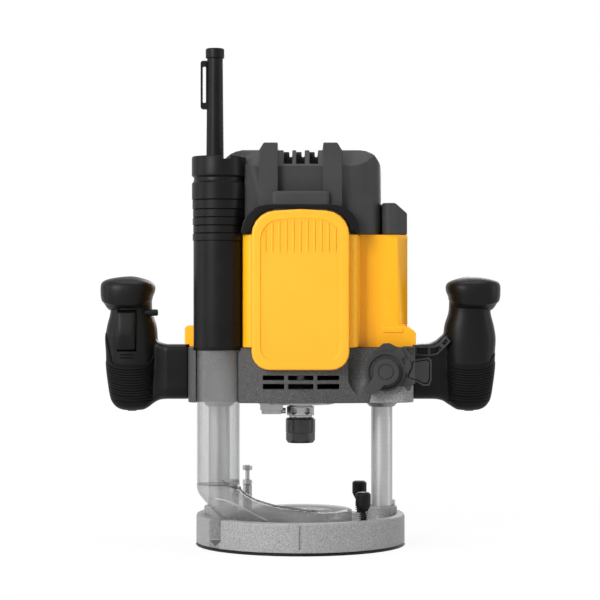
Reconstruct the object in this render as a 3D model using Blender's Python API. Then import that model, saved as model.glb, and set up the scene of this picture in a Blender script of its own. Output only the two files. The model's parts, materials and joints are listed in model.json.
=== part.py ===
"""Plunge router: a base with two columns and a motor carriage that slides on them.

Sizes are in millimetres and are turned into metres where each mesh is made.
The frame stands on the sole: origin at the centre of its underside, +Z up, front towards -Y.
"""

import math

import bmesh
import bpy
from mathutils import Matrix, Vector

MM = 0.001

# Clearances
FIT = 0.3
RUN = 0.4

# Base
BASE_RADIUS = 83.2
SOLE_OVERHANG = 0.6
SOLE_THICKNESS = 2.0
DECK_TOP = 18.0
RIM_TOP = 25.0
RIM_WALL = 7.0
REAR_LIP_TOP = 19.0
REAR_RIM_START = 28.0
OPENING_RADIUS = 32.0
BOSS_RADIUS = 12.2
BOSS_TOP = 31.0

# Columns and their springs
COLUMN_X = 65.0
COLUMN_RADIUS = 8.5
COLUMN_BORE = 5.5
COLUMN_SEAT = 10.0
COLUMN_TOP = 168.0
COLUMN_FLOOR = 30.0
BUSH_WALL = 2.1
SPRING_RADIUS = 4.3
SPRING_WIRE = 1.3
SPRING_CURLS = 6
GUIDE_RADIUS = 2.7
GUIDE_HEAD = 236.0
GUIDE_BOTTOM = 102.0

# Side fence bores and clamps
FENCE_Y = 51.0
FENCE_Z = 11.0
FENCE_BORE = 5.2
CHANNEL_Y = -48.8
CHANNEL_HALF = 6.4
CLAMP_X = 48.6
CLAMP_RADIUS = 6.0
CLAMP_BOTTOM = 31.0
CLAMP_TOP = 46.0
CLAMP_SCREW = 2.2
CLAMP_WIRE = 1.0
CLAMP_CURLS = 5

# Dust duct
DUCT_X = -64.0
DUCT_Y = -43.0
TUBE_RADIUS = 16.7
TUBE_WALL = 1.8
TUBE_BOTTOM = 52.0
TUBE_TOP = 200.0
RING_RADIUS = 41.5
RING_HOLE = 26.0
RING_TOP = 28.0
SLEEVE_RADIUS = 19.4
SLEEVE_BOTTOM = 156.0
SLEEVE_TOP = 240.8
ADAPTOR_TOP = 306.5

# Stop turret and depth rod
TURRET_X = -50.6
TURRET_Y = 38.0
TURRET_RADIUS = 11.2
TURRET_TOP = 24.0
POST_CIRCLE = 7.2
POST_RADIUS = 3.9
STOP_SCREW = 2.0
DEPTH_RADIUS = 4.0
DEPTH_BOTTOM = 130.0
DEPTH_TOP = 280.0
DEPTH_KNOB_Z = 142.0

# Casing, housing and cap
CASING_BOTTOM = 115.0
CASING_TOP = 158.0
CASING_HALF = 88.0
REAR_Y = 32.0
DRUM_RADIUS = 50.0
MOTOR_BORE = 43.5
MOTOR_SIDES = 20
HOUSING_TOP = 246.0
HOUSING_HALF = 45.0
HOUSING_FRONT = -58.0
TOWER_HALF = 84.0
TOWER_FRONT = -38.0
FOOT_LOW = 160.0
FOOT_TOP = 175.0
LEFT_FOOT = 91.6
RIGHT_FOOT = 90.2
PANEL_HALF = 37.7
PANEL_BOTTOM = 141.0
PANEL_TOP = 265.0
PANEL_FRONT = -65.0
PANEL_CROWN = 2.2
CAP_HALF = 63.5
CAP_FRONT = -47.0
CAP_TOP = 312.5
CAP_LUG_TOP = 317.0
COLUMN_CAP_TOP = 271.0
GUARD_X = -69.0
GUARD_Y = 16.0
GUARD_TOP = 398.0

# Handles
HANDLE_X = 135.6
ARM_HALF_DEPTH = 16.0
ARM_BOTTOM = 116.0
ARM_TOP = 159.6
SLEEVE_GRIP_LOW = 111.0
SLEEVE_GRIP_HIGH = 142.5
RIB_COUNT = 10

# Plunge lock
LOCK_X = 66.0
LOCK_Z = 139.5
LOCK_BOLT = 4.0
COVER_FRONT = -54.0
LEVER_FRONT = -62.0

# Spindle line
BEARING_RADIUS = 20.0
BEARING_LOW = 117.3
BEARING_HIGH = 128.7
SPINDLE_SEAT = 8.5
COLLAR_RADIUS = 11.4
COLLAR_LOW = 103.0
COLLAR_HIGH = 110.0
LOCK_PIN = 2.3
NOSE_RADIUS = 9.0
NUT_BOTTOM = 81.0
NUT_TOP = 101.0
NUT_RADIUS = 12.0
SHANK_RADIUS = 6.35

YELLOW = (0.98, 0.48, 0.03)
BLACK = (0.03, 0.03, 0.03)
CASING_GREY = (0.12, 0.12, 0.12)
CAST_GREY = (0.42, 0.42, 0.42)
STEEL = (0.6, 0.6, 0.6)
CLEAR = (0.75, 0.77, 0.78)
COPPER = (0.6, 0.3, 0.15)

for old in list(bpy.data.objects):
    bpy.data.objects.remove(old)


# Shapes, all as bmesh in millimetres

def arc(centre, radius, start, end, steps):
    """Points on a circle from one angle to another in degrees, both ends included."""
    points = []
    for i in range(steps + 1):
        angle = math.radians(start + (end - start) * i / steps)
        points.append((centre[0] + radius * math.cos(angle), centre[1] + radius * math.sin(angle)))
    return points


def filleted(corners, steps=4):
    """Outline through (x, y, radius) corners, each rounded by its own radius."""
    points = []
    for i, (x, y, radius) in enumerate(corners):
        if radius <= 0:
            points.append((x, y))
            continue
        here = Vector((x, y))
        before = (Vector(corners[i - 1][:2]) - here).normalized()
        after = (Vector(corners[(i + 1) % len(corners)][:2]) - here).normalized()
        half = before.angle(after) / 2
        reach = radius / math.tan(half)
        centre = here + (before + after).normalized() * radius / math.sin(half)
        first = here + before * reach - centre
        last = here + after * reach - centre
        start = math.atan2(first.y, first.x)
        turn = (math.atan2(last.y, last.x) - start + math.pi) % math.tau - math.pi
        for k in range(steps + 1):
            angle = start + turn * k / steps
            points.append((centre.x + radius * math.cos(angle), centre.y + radius * math.sin(angle)))
    return points


def rounded(x0, x1, y0, y1, low_radius, high_radius=None, steps=4):
    """Rectangle outline with its lower and upper corners rounded."""
    high_radius = low_radius if high_radius is None else high_radius
    corners = [(x0, y0, low_radius), (x1, y0, low_radius), (x1, y1, high_radius), (x0, y1, high_radius)]
    return filleted(corners, steps)


def placed(point, height, plane):
    """3-D point of an outline point in one of the three planes."""
    if plane == "XY":
        return (point[0], point[1], height)
    if plane == "XZ":
        return (point[0], height, point[1])
    return (height, point[0], point[1])


def loft(sections):
    """Solid skinned over loops of the same number of points, with flat ends."""
    bm = bmesh.new()
    rows = [[bm.verts.new(p) for p in section] for section in sections]
    count = len(rows[0])
    for low, high in zip(rows, rows[1:]):
        for i in range(count):
            j = (i + 1) % count
            bm.faces.new((low[i], low[j], high[j], high[i]))
    bm.faces.new(reversed(rows[0]))
    bm.faces.new(rows[-1])
    bmesh.ops.recalc_face_normals(bm, faces=bm.faces)
    return bm


def prism(outline, low, high, plane="XY"):
    """Solid between two copies of an outline."""
    return loft([[placed(p, h, plane) for p in outline] for h in (low, high)])


def box(x0, x1, y0, y1, z0, z1):
    return prism([(x0, y0), (x1, y0), (x1, y1), (x0, y1)], z0, z1)


def turned(profile, at=(0, 0), segments=32, axis="Z"):
    """Solid made by turning a closed (radius, height) profile; radius 0 lies on the axis."""
    bm = bmesh.new()
    rows = []
    for radius, height in profile:
        row = []
        for i in range(segments if radius > 0 else 1):
            angle = math.tau * (i + 0.5) / segments
            a = at[0] + radius * math.cos(angle)
            b = at[1] + radius * math.sin(angle)
            point = {"Z": (a, b, height), "Y": (a, height, b), "X": (height, a, b)}[axis]
            row.append(bm.verts.new(point))
        rows.append(row)
    for low, high in zip(rows, rows[1:] + rows[:1]):
        for i in range(segments):
            j = (i + 1) % segments
            if len(low) > 1 and len(high) > 1:
                bm.faces.new((low[i], low[j], high[j], high[i]))
            elif len(low) > 1:
                bm.faces.new((low[i], low[j], high[0]))
            elif len(high) > 1:
                bm.faces.new((low[0], high[j], high[i]))
    bmesh.ops.recalc_face_normals(bm, faces=bm.faces)
    return bm


def rod(radius, low, high, at=(0, 0), segments=24, axis="Z", chamfer=0.0):
    """Plain round bar, with chamfered ends if wanted."""
    inner = radius - chamfer
    profile = [(0, low), (radius, low), (radius, high), (0, high)]
    if chamfer > 0:
        profile = [
            (0, low), (inner, low), (radius, low + chamfer), (radius, high - chamfer),
            (inner, high), (0, high),
        ]
    return turned(profile, at, segments, axis)


def hexagon(across_flats, low, high, at=(0, 0), turn=0.0, chamfer=0.0):
    """Hexagonal bar standing along Z, with a chamfered upper end if wanted."""
    corner = across_flats / math.sqrt(3)
    levels = [(corner, low), (corner, high - chamfer), (corner - chamfer, high)]
    if chamfer == 0:
        levels = levels[:1] + [(corner, high)]
    sections = []
    for radius, height in levels:
        loop = arc(at, radius, turn, turn + 300, 5)
        sections.append([(x, y, height) for x, y in loop])
    return loft(sections)


def joined(*shapes):
    """Several shapes kept side by side in one mesh."""
    whole = bmesh.new()
    for shape in shapes:
        mesh = bpy.data.meshes.new("joint")
        shape.to_mesh(mesh)
        shape.free()
        whole.from_mesh(mesh)
        bpy.data.meshes.remove(mesh)
    return whole


def flipped(shape):
    """The shape mirrored across x = 0."""
    bmesh.ops.scale(shape, vec=(-1, 1, 1), verts=shape.verts)
    bmesh.ops.recalc_face_normals(shape, faces=shape.faces)
    return shape


def swung(shape, degrees):
    """The shape turned about the spindle line."""
    turn = Matrix.Rotation(math.radians(degrees), 3, "Z")
    bmesh.ops.rotate(shape, cent=(0, 0, 0), matrix=turn, verts=shape.verts)
    return shape


# Objects

materials = {}


def material(colour, metallic, roughness):
    key = (colour, metallic, roughness)
    if key not in materials:
        made = bpy.data.materials.new(f"finish_{len(materials)}")
        made.use_nodes = True
        shader = made.node_tree.nodes["Principled BSDF"]
        shader.inputs["Base Color"].default_value = (*colour, 1)
        shader.inputs["Metallic"].default_value = metallic
        shader.inputs["Roughness"].default_value = roughness
        materials[key] = made
    return materials[key]


def body(name, origin=(0, 0, 0), parent=None):
    """Empty that carries the pieces of one moving body, placed on its joint axis."""
    empty = bpy.data.objects.new(name, None)
    empty.parent = parent
    start = parent["at"] if parent else (0, 0, 0)
    empty.location = [(a - b) * MM for a, b in zip(origin, start)]
    empty["at"] = origin
    bpy.context.collection.objects.link(empty)
    return empty


def mesh_of(name, shape):
    bmesh.ops.scale(shape, vec=(MM, MM, MM), verts=shape.verts)
    mesh = bpy.data.meshes.new(name)
    shape.to_mesh(mesh)
    shape.free()
    return mesh


def piece(name, shape, carrier, colour, metallic=0.0, roughness=0.5):
    """One node, carried by the empty of its body."""
    bmesh.ops.translate(shape, vec=-Vector(carrier["at"]), verts=shape.verts)
    mesh = mesh_of(name, shape)
    mesh.shade_smooth()
    mesh.set_sharp_from_angle(angle=math.radians(32))
    mesh.materials.append(material(colour, metallic, roughness))
    made = bpy.data.objects.new(name, mesh)
    made.parent = carrier
    bpy.context.collection.objects.link(made)
    return made


def change(made, shape, operation, solver):
    tool = bpy.data.objects.new(f"{made.name}_tool_{len(made.modifiers)}", mesh_of("tool", shape))
    tool.hide_render = True
    tool.display_type = "WIRE"
    bpy.context.collection.objects.link(tool)
    modifier = made.modifiers.new(tool.name, "BOOLEAN")
    modifier.object = tool
    modifier.operation = operation
    modifier.solver = solver


def cut(made, shape, solver="EXACT"):
    change(made, shape, "DIFFERENCE", solver)


def fuse(made, shape, solver="EXACT"):
    change(made, shape, "UNION", solver)


def keep(made, shape, solver="EXACT"):
    change(made, shape, "INTERSECT", solver)


def coil(name, carrier, at, radius, wire, low, high, curls, sides):
    """Compression spring as one unbroken tube, with a straight stub at each end."""
    per_curl = 8
    centre = Vector(carrier["at"])
    path = []
    steps = curls * per_curl
    for i in range(steps + 1):
        angle = math.tau * i / per_curl
        height = low + wire + (high - low - 2 * wire) * i / steps
        path.append(Vector((at[0] + radius * math.cos(angle), at[1] + radius * math.sin(angle), height)))
    gap = min(
        (p - q).length - wire
        for i, p in enumerate(path)
        for q in path[i + per_curl // 2:]
    )
    print(f"{name}: least gap between curls {gap:.2f} mm")
    path.insert(0, path[0] - Vector((0, 0, wire)))
    path.append(path[-1] + Vector((0, 0, wire)))
    curve = bpy.data.curves.new(name, "CURVE")
    curve.dimensions = "3D"
    curve.bevel_depth = wire / 2 * MM
    curve.bevel_resolution = sides
    curve.use_fill_caps = True
    spline = curve.splines.new("POLY")
    spline.points.add(len(path) - 1)
    for point, spot in zip(spline.points, path):
        point.co = (*((spot - centre) * MM), 1)
    curve.materials.append(material(STEEL, 1.0, 0.3))
    made = bpy.data.objects.new(name, curve)
    made.parent = carrier
    bpy.context.collection.objects.link(made)
    return made


# Bodies, one per joint

base = body("base")
carriage = body("carriage", parent=base)
turret_body = body("turret_body", (TURRET_X, TURRET_Y, 0), base)
front_clamp = body("front_clamp", (CLAMP_X, -FENCE_Y, CLAMP_BOTTOM), base)
rear_clamp = body("rear_clamp", (CLAMP_X, FENCE_Y, CLAMP_BOTTOM), base)
spindle_body = body("spindle_body", (0, 0, COLLAR_HIGH), carriage)
nut_body = body("nut_body", (0, 0, NUT_BOTTOM), spindle_body)
lock_slide = body("lock_slide", (-20, 0, (COLLAR_LOW + COLLAR_HIGH) / 2), carriage)
lever_body = body("lever_body", (LOCK_X, COVER_FRONT, LOCK_Z), carriage)
trigger_body = body("trigger_body", (-HANDLE_X - 2, -12.5, 157), carriage)
button_body = body("button_body", (-HANDLE_X + 16.6, -11, 185), carriage)
depth_body = body("depth_body", (TURRET_X - POST_CIRCLE / 2, TURRET_Y + POST_CIRCLE * 0.866, 150), carriage)
depth_x = depth_body["at"][0]
depth_y = depth_body["at"][1]
depth_clamp = body("depth_clamp", (depth_x, depth_y + 12, DEPTH_KNOB_Z), carriage)


# Base casting and sole

def build_base():
    bottom = SOLE_THICKNESS + FIT
    inner = BASE_RADIUS - RIM_WALL
    profile = [
        (OPENING_RADIUS, bottom), (BASE_RADIUS, bottom), (BASE_RADIUS, RIM_TOP - 1),
        (BASE_RADIUS - 1, RIM_TOP), (inner + 0.8, RIM_TOP), (inner, RIM_TOP - 0.8),
        (inner, DECK_TOP), (OPENING_RADIUS, DECK_TOP),
    ]
    casting = piece("base_casting", turned(profile, segments=40), base, CAST_GREY, 0.6, 0.6)
    far = BASE_RADIUS + 5
    cut(casting, box(-far, far, REAR_RIM_START, far, REAR_LIP_TOP, RIM_TOP + 5))
    # Column bosses and clamp bosses
    boss = [
        (0, DECK_TOP - 2), (BOSS_RADIUS + 2, DECK_TOP - 2), (BOSS_RADIUS + 1, DECK_TOP + 1.5),
        (BOSS_RADIUS, DECK_TOP + 4), (BOSS_RADIUS, BOSS_TOP - 1), (BOSS_RADIUS - 1, BOSS_TOP), (0, BOSS_TOP),
    ]
    pad = [(0, 14), (7.2, 14), (7.2, DECK_TOP + 1.2), (6.4, DECK_TOP + 2), (0, DECK_TOP + 2)]
    raised = []
    for side in (-1, 1):
        raised.append(turned(boss, (side * COLUMN_X, 0), 18))
        raised.append(turned(pad, (CLAMP_X, side * FENCE_Y), 12))
    fuse(casting, joined(*raised))
    # Column seats, clamp screw holes, turret pivot hole and the centre mark on the front wall
    holes = []
    for side in (-1, 1):
        holes.append(rod(COLUMN_RADIUS + FIT, COLUMN_SEAT, BOSS_TOP + 5, (side * COLUMN_X, 0), 16))
        holes.append(rod(CLAMP_SCREW + RUN, FENCE_Z, DECK_TOP + 4, (CLAMP_X, side * FENCE_Y), 10))
    holes.append(rod(3.0, DECK_TOP - 6, DECK_TOP + 2, (TURRET_X, TURRET_Y), 12))
    holes.append(box(-1.1, 1.1, -far, -BASE_RADIUS + 1.4, 5, RIM_TOP - 2))
    cut(casting, joined(*holes))
    # Fence bores, and the open channel at the front left
    front_bore = rod(FENCE_BORE, -60, 60, (-FENCE_Y, FENCE_Z), 14, "X")
    rear_bore = rod(FENCE_BORE, -far, 60, (FENCE_Y, FENCE_Z), 14, "X")
    cut(casting, joined(front_bore, rear_bore), "MANIFOLD")
    front = CHANNEL_Y - CHANNEL_HALF
    rear = CHANNEL_Y + CHANNEL_HALF
    channel = [(front, RIM_TOP + 4), (front, 8.2), (CHANNEL_Y, 3.6), (rear, 8.2), (rear, RIM_TOP + 4)]
    cut(casting, prism(channel, -far, -50.0, "YZ"), "MANIFOLD")

    outside = BASE_RADIUS + SOLE_OVERHANG
    sole = [
        (OPENING_RADIUS - 2, 0), (outside - 0.6, 0), (outside, 0.6), (outside - 0.9, SOLE_THICKNESS),
        (OPENING_RADIUS - 2, SOLE_THICKNESS),
    ]
    piece("sole_plate", turned(sole, segments=40), base, BLACK, 0.0, 0.6)


# Columns, springs and spring guides

def build_columns():
    for side, name in ((-1, "left"), (1, "right")):
        at = (side * COLUMN_X, 0)
        low = COLUMN_SEAT + FIT
        profile = [
            (0, low), (COLUMN_RADIUS, low), (COLUMN_RADIUS, COLUMN_TOP - 1), (COLUMN_RADIUS - 1, COLUMN_TOP),
            (COLUMN_BORE, COLUMN_TOP), (COLUMN_BORE, COLUMN_FLOOR), (0, COLUMN_FLOOR),
        ]
        piece(f"{name}_column", turned(profile, at, 24), base, STEEL, 1.0, 0.25)
        coil(f"{name}_plunge_spring", base, at, SPRING_RADIUS, SPRING_WIRE, COLUMN_FLOOR + FIT + 0.2,
             GUIDE_HEAD - FIT - 0.2, SPRING_CURLS, 0)
        top = HOUSING_TOP - 5
        guide = [
            (0, GUIDE_BOTTOM), (GUIDE_RADIUS - 1, GUIDE_BOTTOM), (GUIDE_RADIUS, GUIDE_BOTTOM + 1),
            (GUIDE_RADIUS, GUIDE_HEAD), (7, GUIDE_HEAD), (7, top), (0, top),
        ]
        piece(f"{name}_spring_guide", turned(guide, at, 8), carriage, STEEL, 1.0, 0.4)


# Clear dust tube and shroud

def duct_section(low, high, half_width, fullness, shrink=0.0):
    """Loop of the duct between its lower and upper wall points, given along the duct's run."""
    along = Vector((-DUCT_X, -DUCT_Y, 0)).normalized()
    across = Vector((-along.y, along.x, 0))
    start = Vector((DUCT_X, DUCT_Y, 0))
    a = start + along * low[0] + Vector((0, 0, low[1]))
    b = start + along * high[0] + Vector((0, 0, high[1]))
    middle = (a + b) / 2
    half = (b - a) / 2
    half -= half.normalized() * shrink
    loop = []
    for i in range(14):
        up = math.cos(math.tau * i / 14)
        aside = math.sin(math.tau * i / 14)
        up = math.copysign(abs(up) ** fullness, up)
        aside = math.copysign(abs(aside) ** fullness, aside)
        loop.append(middle + half * up + across * (half_width - shrink) * aside)
    return loop


def build_dust():
    at = (DUCT_X, DUCT_Y)
    bore = TUBE_RADIUS - TUBE_WALL
    low = TUBE_BOTTOM + FIT
    profile = [(bore, low), (TUBE_RADIUS, low), (TUBE_RADIUS, TUBE_TOP), (bore, TUBE_TOP)]
    piece("dust_tube", turned(profile, at, 28), base, CLEAR, 0.0, 0.15)

    deck = DECK_TOP + FIT
    wall = TUBE_WALL
    lip = [
        (RING_RADIUS, deck), (RING_RADIUS, RING_TOP - 1.5), (RING_RADIUS - 1.5, RING_TOP),
        (RING_HOLE, RING_TOP), (RING_HOLE, deck + 4), (RING_HOLE + wall, deck + 4),
        (RING_HOLE + wall, RING_TOP - wall), (RING_RADIUS - wall, RING_TOP - wall),
        (RING_RADIUS - wall, deck),
    ]
    shroud = piece("dust_shroud", turned(lip, segments=32), base, CLEAR, 0.0, 0.15)
    r = TUBE_RADIUS
    # Elbow and scoop: lower wall, upper wall, half width and fullness of each section
    stations = [
        ((-r, TUBE_BOTTOM), (r, TUBE_BOTTOM), r, 1.0),
        ((-r, 48.5), (r, 50.3), r, 1.0),
        ((-11, 40), (18.5, 48.0), r, 1.0),
        ((-3, 31), (23, 46.4), r + 1, 0.95),
        ((5, 23.5), (29, 44.6), r + 3, 0.9),
        ((15, 19.4), (35, 42.4), r + 5, 0.85),
        ((27, 18.9), (41, 39.8), r + 8, 0.8),
        ((38, 18.9), (46.5, 37), r + 12, 0.75),
    ]
    fuse(shroud, loft([duct_section(*s) for s in stations + [((46, 18.9), (50.6, 34), r + 15, 0.7)]]))
    hollow = [duct_section((-r, TUBE_BOTTOM + 4), (r, TUBE_BOTTOM + 4), r, 1.0, wall)]
    hollow += [duct_section(*s, wall) for s in stations]
    hollow.append(duct_section((44.5, 19), (48.6, 34.6), r + 14, 0.7, wall))
    cut(shroud, loft(hollow))
    # Windows through the rear of the ring's inner wall
    for x in (-13.0, 2.0, 17.0):
        window = box(x - 5, x + 5, RING_HOLE - 12, RING_HOLE + wall + 0.8, deck + 3, RING_TOP - wall - 0.6)
        cut(shroud, window)

    rings = [
        (SLEEVE_RADIUS - 1.6, SLEEVE_BOTTOM), (SLEEVE_RADIUS, SLEEVE_BOTTOM + 3), (SLEEVE_RADIUS, SLEEVE_TOP),
        (TUBE_RADIUS + RUN, SLEEVE_TOP), (TUBE_RADIUS + RUN, SLEEVE_BOTTOM),
    ]
    piece("dust_sleeve", turned(rings, at, 24), carriage, BLACK, 0.0, 0.5)
    base_ring = SLEEVE_TOP + FIT
    outline = [(TUBE_RADIUS + RUN, base_ring)]
    levels = [(0.5, 247.7), (-0.1, 253.5), (0.5, 259.2), (-0.1, 264.9), (0.5, 272.2), (1.1, 285.3)]
    start = base_ring
    for out, end in levels:
        outline += [(SLEEVE_RADIUS + out, start + 0.4), (SLEEVE_RADIUS + out, end - 0.4)]
        start = end
    outline += [(SLEEVE_RADIUS - 1.0, 288.0), (SLEEVE_RADIUS + 0.9, 291.2), (SLEEVE_RADIUS + 1.3, 292.2),
                (SLEEVE_RADIUS + 1.3, 301.2), (SLEEVE_RADIUS + 0.8, 301.7), (SLEEVE_RADIUS + 1.2, 302.4),
                (SLEEVE_RADIUS + 1.2, ADAPTOR_TOP - 1), (SLEEVE_RADIUS + 0.3, ADAPTOR_TOP),
                (TUBE_RADIUS + 1.2, ADAPTOR_TOP), (TUBE_RADIUS + 1.2, 280.0), (TUBE_RADIUS + RUN, 280.0)]
    adaptor = piece("hose_adaptor", turned(outline, at, 18), carriage, BLACK, 0.0, 0.5)
    # Notch in the rim for the hose end
    cut(adaptor, box(DUCT_X + 3, DUCT_X + 10, DUCT_Y - 30, DUCT_Y - 12, ADAPTOR_TOP - 3, ADAPTOR_TOP + 3))


# Stop turret, depth rod and clamps

def build_stops():
    floor = DECK_TOP + FIT
    disc = [
        (0, DECK_TOP - 5), (2.7, DECK_TOP - 5), (2.7, floor), (TURRET_RADIUS, floor),
        (TURRET_RADIUS, TURRET_TOP - 1), (TURRET_RADIUS - 1, TURRET_TOP), (0, TURRET_TOP),
    ]
    turret = piece("turret", turned(disc, (TURRET_X, TURRET_Y), 18), turret_body, CAST_GREY, 0.6, 0.5)
    stops = (("tall", 0, 44.0, 60.0), ("middle", 120, 34.0, 48.0), ("short", 240, 28.0, 38.0))
    for name, turn, post_top, screw_top in stops:
        angle = math.radians(turn)
        at = (TURRET_X + POST_CIRCLE * math.cos(angle), TURRET_Y + POST_CIRCLE * math.sin(angle))
        fuse(turret, rod(POST_RADIUS, TURRET_TOP - 2, post_top, at, 8))
        cut(turret, rod(STOP_SCREW + 0.6, post_top - 8, post_top + 2, at, 6))
        nut = hexagon(7.0, post_top + FIT, post_top + 4.2, at, 15)
        nut_piece = piece(f"stop_nut_{name}", nut, turret_body, STEEL, 1.0, 0.35)
        cut(nut_piece, rod(STOP_SCREW + 0.6, post_top - 1, post_top + 6, at, 6))
        shank = rod(STOP_SCREW, post_top - 7.5, screw_top - 3, at, 6)
        screw = piece(f"stop_screw_{name}", shank, turret_body, STEEL, 1.0, 0.35)
        fuse(screw, hexagon(7.0, screw_top - 4, screw_top, at, 0, 0.6))
    depth = rod(DEPTH_RADIUS, DEPTH_BOTTOM, DEPTH_TOP, (depth_x, depth_y), 16, "Z", 0.8)
    piece("depth_rod", depth, depth_body, STEEL, 1.0, 0.3)
    clamp_y = depth_y + 8.5
    tip = depth_y + DEPTH_RADIUS + RUN
    profile = [
        (0, tip), (2.4, tip), (2.4, clamp_y + 2), (6.0, clamp_y + 2), (9.0, clamp_y + 4),
        (9.0, clamp_y + 14), (8.0, clamp_y + 15.5), (0, clamp_y + 15.5),
    ]
    knob = turned(profile, (depth_x, DEPTH_KNOB_Z), 16, "Y")
    clamp = piece("depth_clamp_knob", knob, depth_clamp, BLACK, 0.0, 0.5)
    flutes = []
    for spot in arc((depth_x, DEPTH_KNOB_Z), 10.2, 22.5, 337.5, 7):
        flutes.append(rod(2.2, clamp_y + 3, clamp_y + 20, spot, 6, "Y"))
    cut(clamp, joined(*flutes))


def build_fence_clamps():
    for carrier, side, name in ((front_clamp, -1, "front"), (rear_clamp, 1, "rear")):
        at = (CLAMP_X, side * FENCE_Y)
        tip = FENCE_Z + 5.6
        profile = [
            (0, tip), (CLAMP_SCREW, tip), (CLAMP_SCREW, CLAMP_BOTTOM), (CLAMP_SCREW + 1.2, CLAMP_BOTTOM),
            (CLAMP_RADIUS, CLAMP_BOTTOM + 5), (CLAMP_RADIUS, CLAMP_TOP - 1.5),
            (CLAMP_RADIUS - 1.5, CLAMP_TOP), (0, CLAMP_TOP),
        ]
        knob = piece(f"{name}_clamp_knob", turned(profile, at, 16), carrier, BLACK, 0.0, 0.5)
        flutes = []
        for x, y in arc(at, CLAMP_RADIUS + 0.4, 0, 300, 5):
            flutes.append(rod(0.8, CLAMP_BOTTOM + 5.5, CLAMP_TOP - 3, (x, y), 6))
        cut(knob, joined(*flutes))
        coil(f"{name}_clamp_spring", base, at, CLAMP_SCREW + 0.9, CLAMP_WIRE, DECK_TOP + 2 + FIT,
             CLAMP_BOTTOM - FIT, CLAMP_CURLS, 1)


# Casing, housing, cap and panel

def casing_outline(shift=0.0):
    """Bowed front, square sides and a round rear drum; shift moves it forward."""
    start = math.degrees(math.asin(REAR_Y / DRUM_RADIUS))
    corners = [
        (-CASING_HALF, REAR_Y, 5), (-CASING_HALF, -44.0, 14), (0, -59.6, 150),
        (CASING_HALF, -44.0, 14), (CASING_HALF, REAR_Y, 5),
    ]
    loop = filleted(corners, 5)
    loop += arc((0, 0), DRUM_RADIUS, start, 180 - start, 12)
    return [(x, y - shift) for x, y in loop]


def housing_outline():
    start = math.degrees(math.asin(REAR_Y / DRUM_RADIUS))
    front = [(-HOUSING_HALF, HOUSING_FRONT, 8), (HOUSING_HALF, HOUSING_FRONT, 8)]
    right_tower = [
        (HOUSING_HALF, TOWER_FRONT, 2), (TOWER_HALF, TOWER_FRONT, 8), (TOWER_HALF, REAR_Y, 6),
        (38.4, REAR_Y, 0),
    ]
    left_tower = [
        (-38.4, REAR_Y, 0), (-TOWER_HALF, REAR_Y, 6), (-TOWER_HALF, -26, 5), (-HOUSING_HALF, -26, 2),
    ]
    right = filleted(front + right_tower)[5:-1]
    left = filleted(left_tower + front)[1:-5]
    return right + arc((0, 0), DRUM_RADIUS, start, 180 - start, 12) + left


def build_casing():
    block = prism(casing_outline(), CASING_BOTTOM, CASING_TOP)
    casing = piece("casing", block, carriage, CASING_GREY, 0.0, 0.6)
    seat = BEARING_RADIUS + FIT
    below = CASING_BOTTOM - 2
    above = CASING_TOP + 2
    chamber = [
        (0, below), (13, below), (13, BEARING_LOW - FIT), (seat, BEARING_LOW - FIT),
        (seat, BEARING_HIGH + FIT), (25, BEARING_HIGH + FIT), (25, 124), (MOTOR_BORE, 124),
        (MOTOR_BORE, above), (0, above),
    ]
    cut(casing, turned(chamber, segments=MOTOR_SIDES))
    step = SLEEVE_BOTTOM - FIT
    tube_room = TUBE_RADIUS + 0.9
    sleeve_room = SLEEVE_RADIUS + FIT
    room = [
        (0, below), (tube_room, below), (tube_room, step), (sleeve_room, step), (sleeve_room, above),
        (0, above),
    ]
    holes = [turned(room, (DUCT_X, DUCT_Y), 24)]
    bush = COLUMN_RADIUS + RUN + BUSH_WALL
    for side in (-1, 1):
        holes.append(rod(bush + FIT, below, above, (side * COLUMN_X, 0), 14))
    cut(casing, joined(*holes))
    # Vent slots, and the two recesses between the panel and the lock cover
    vents = []
    for left, right in ((-29, -12.6), (-9.5, 10), (13, 30)):
        vents.append(box(left, right, -64, -28, 126, 130))
        vents.append(box(left, right, -64, -28, 133, 136.5))
    vents.append(prism(rounded(39, 45, 132, 160, 2), -60, -49, "XZ"))
    vents.append(prism(rounded(46.6, 51.5, 128, 155, 1.5), -60, -47.5, "XZ"))
    cut(casing, joined(*vents))
    cut(casing, rod(LOCK_BOLT + FIT, -64, -5, (LOCK_X, LOCK_Z), 12, "Y"))
    # Guide lug of the depth rod
    left = depth_x - 8.5
    right = depth_x + 8.5
    rear = depth_y + 8.5
    lug = filleted([(left, REAR_Y - 4, 0), (left, rear, 8), (right, rear, 8), (right, REAR_Y - 4, 0)])
    fuse(casing, prism(lug, 128, 156))
    cut(casing, rod(DEPTH_RADIUS + RUN, 120, 164, (depth_x, depth_y), 14))
    cut(casing, rod(2.4 + RUN, depth_y, depth_y + 20, (depth_x, DEPTH_KNOB_Z), 10, "Y"))

    for side, name in ((-1, "left"), (1, "right")):
        at = (side * COLUMN_X, 0)
        inner = COLUMN_RADIUS + RUN
        outer = inner + BUSH_WALL
        low = CASING_BOTTOM - 5
        seat = CASING_BOTTOM - FIT
        top = CASING_TOP - 1
        profile = [
            (inner, low), (inner + 0.8, low), (outer + 1.7, low + 3), (outer + 1.7, seat),
            (outer, seat), (outer, top), (inner, top),
        ]
        bush = piece(f"{name}_bush", turned(profile, at, 14), carriage, STEEL, 1.0, 0.4)
        if side > 0:
            cut(bush, rod(LOCK_BOLT + FIT, -20, -3, (LOCK_X, LOCK_Z), 12, "Y"))


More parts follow.
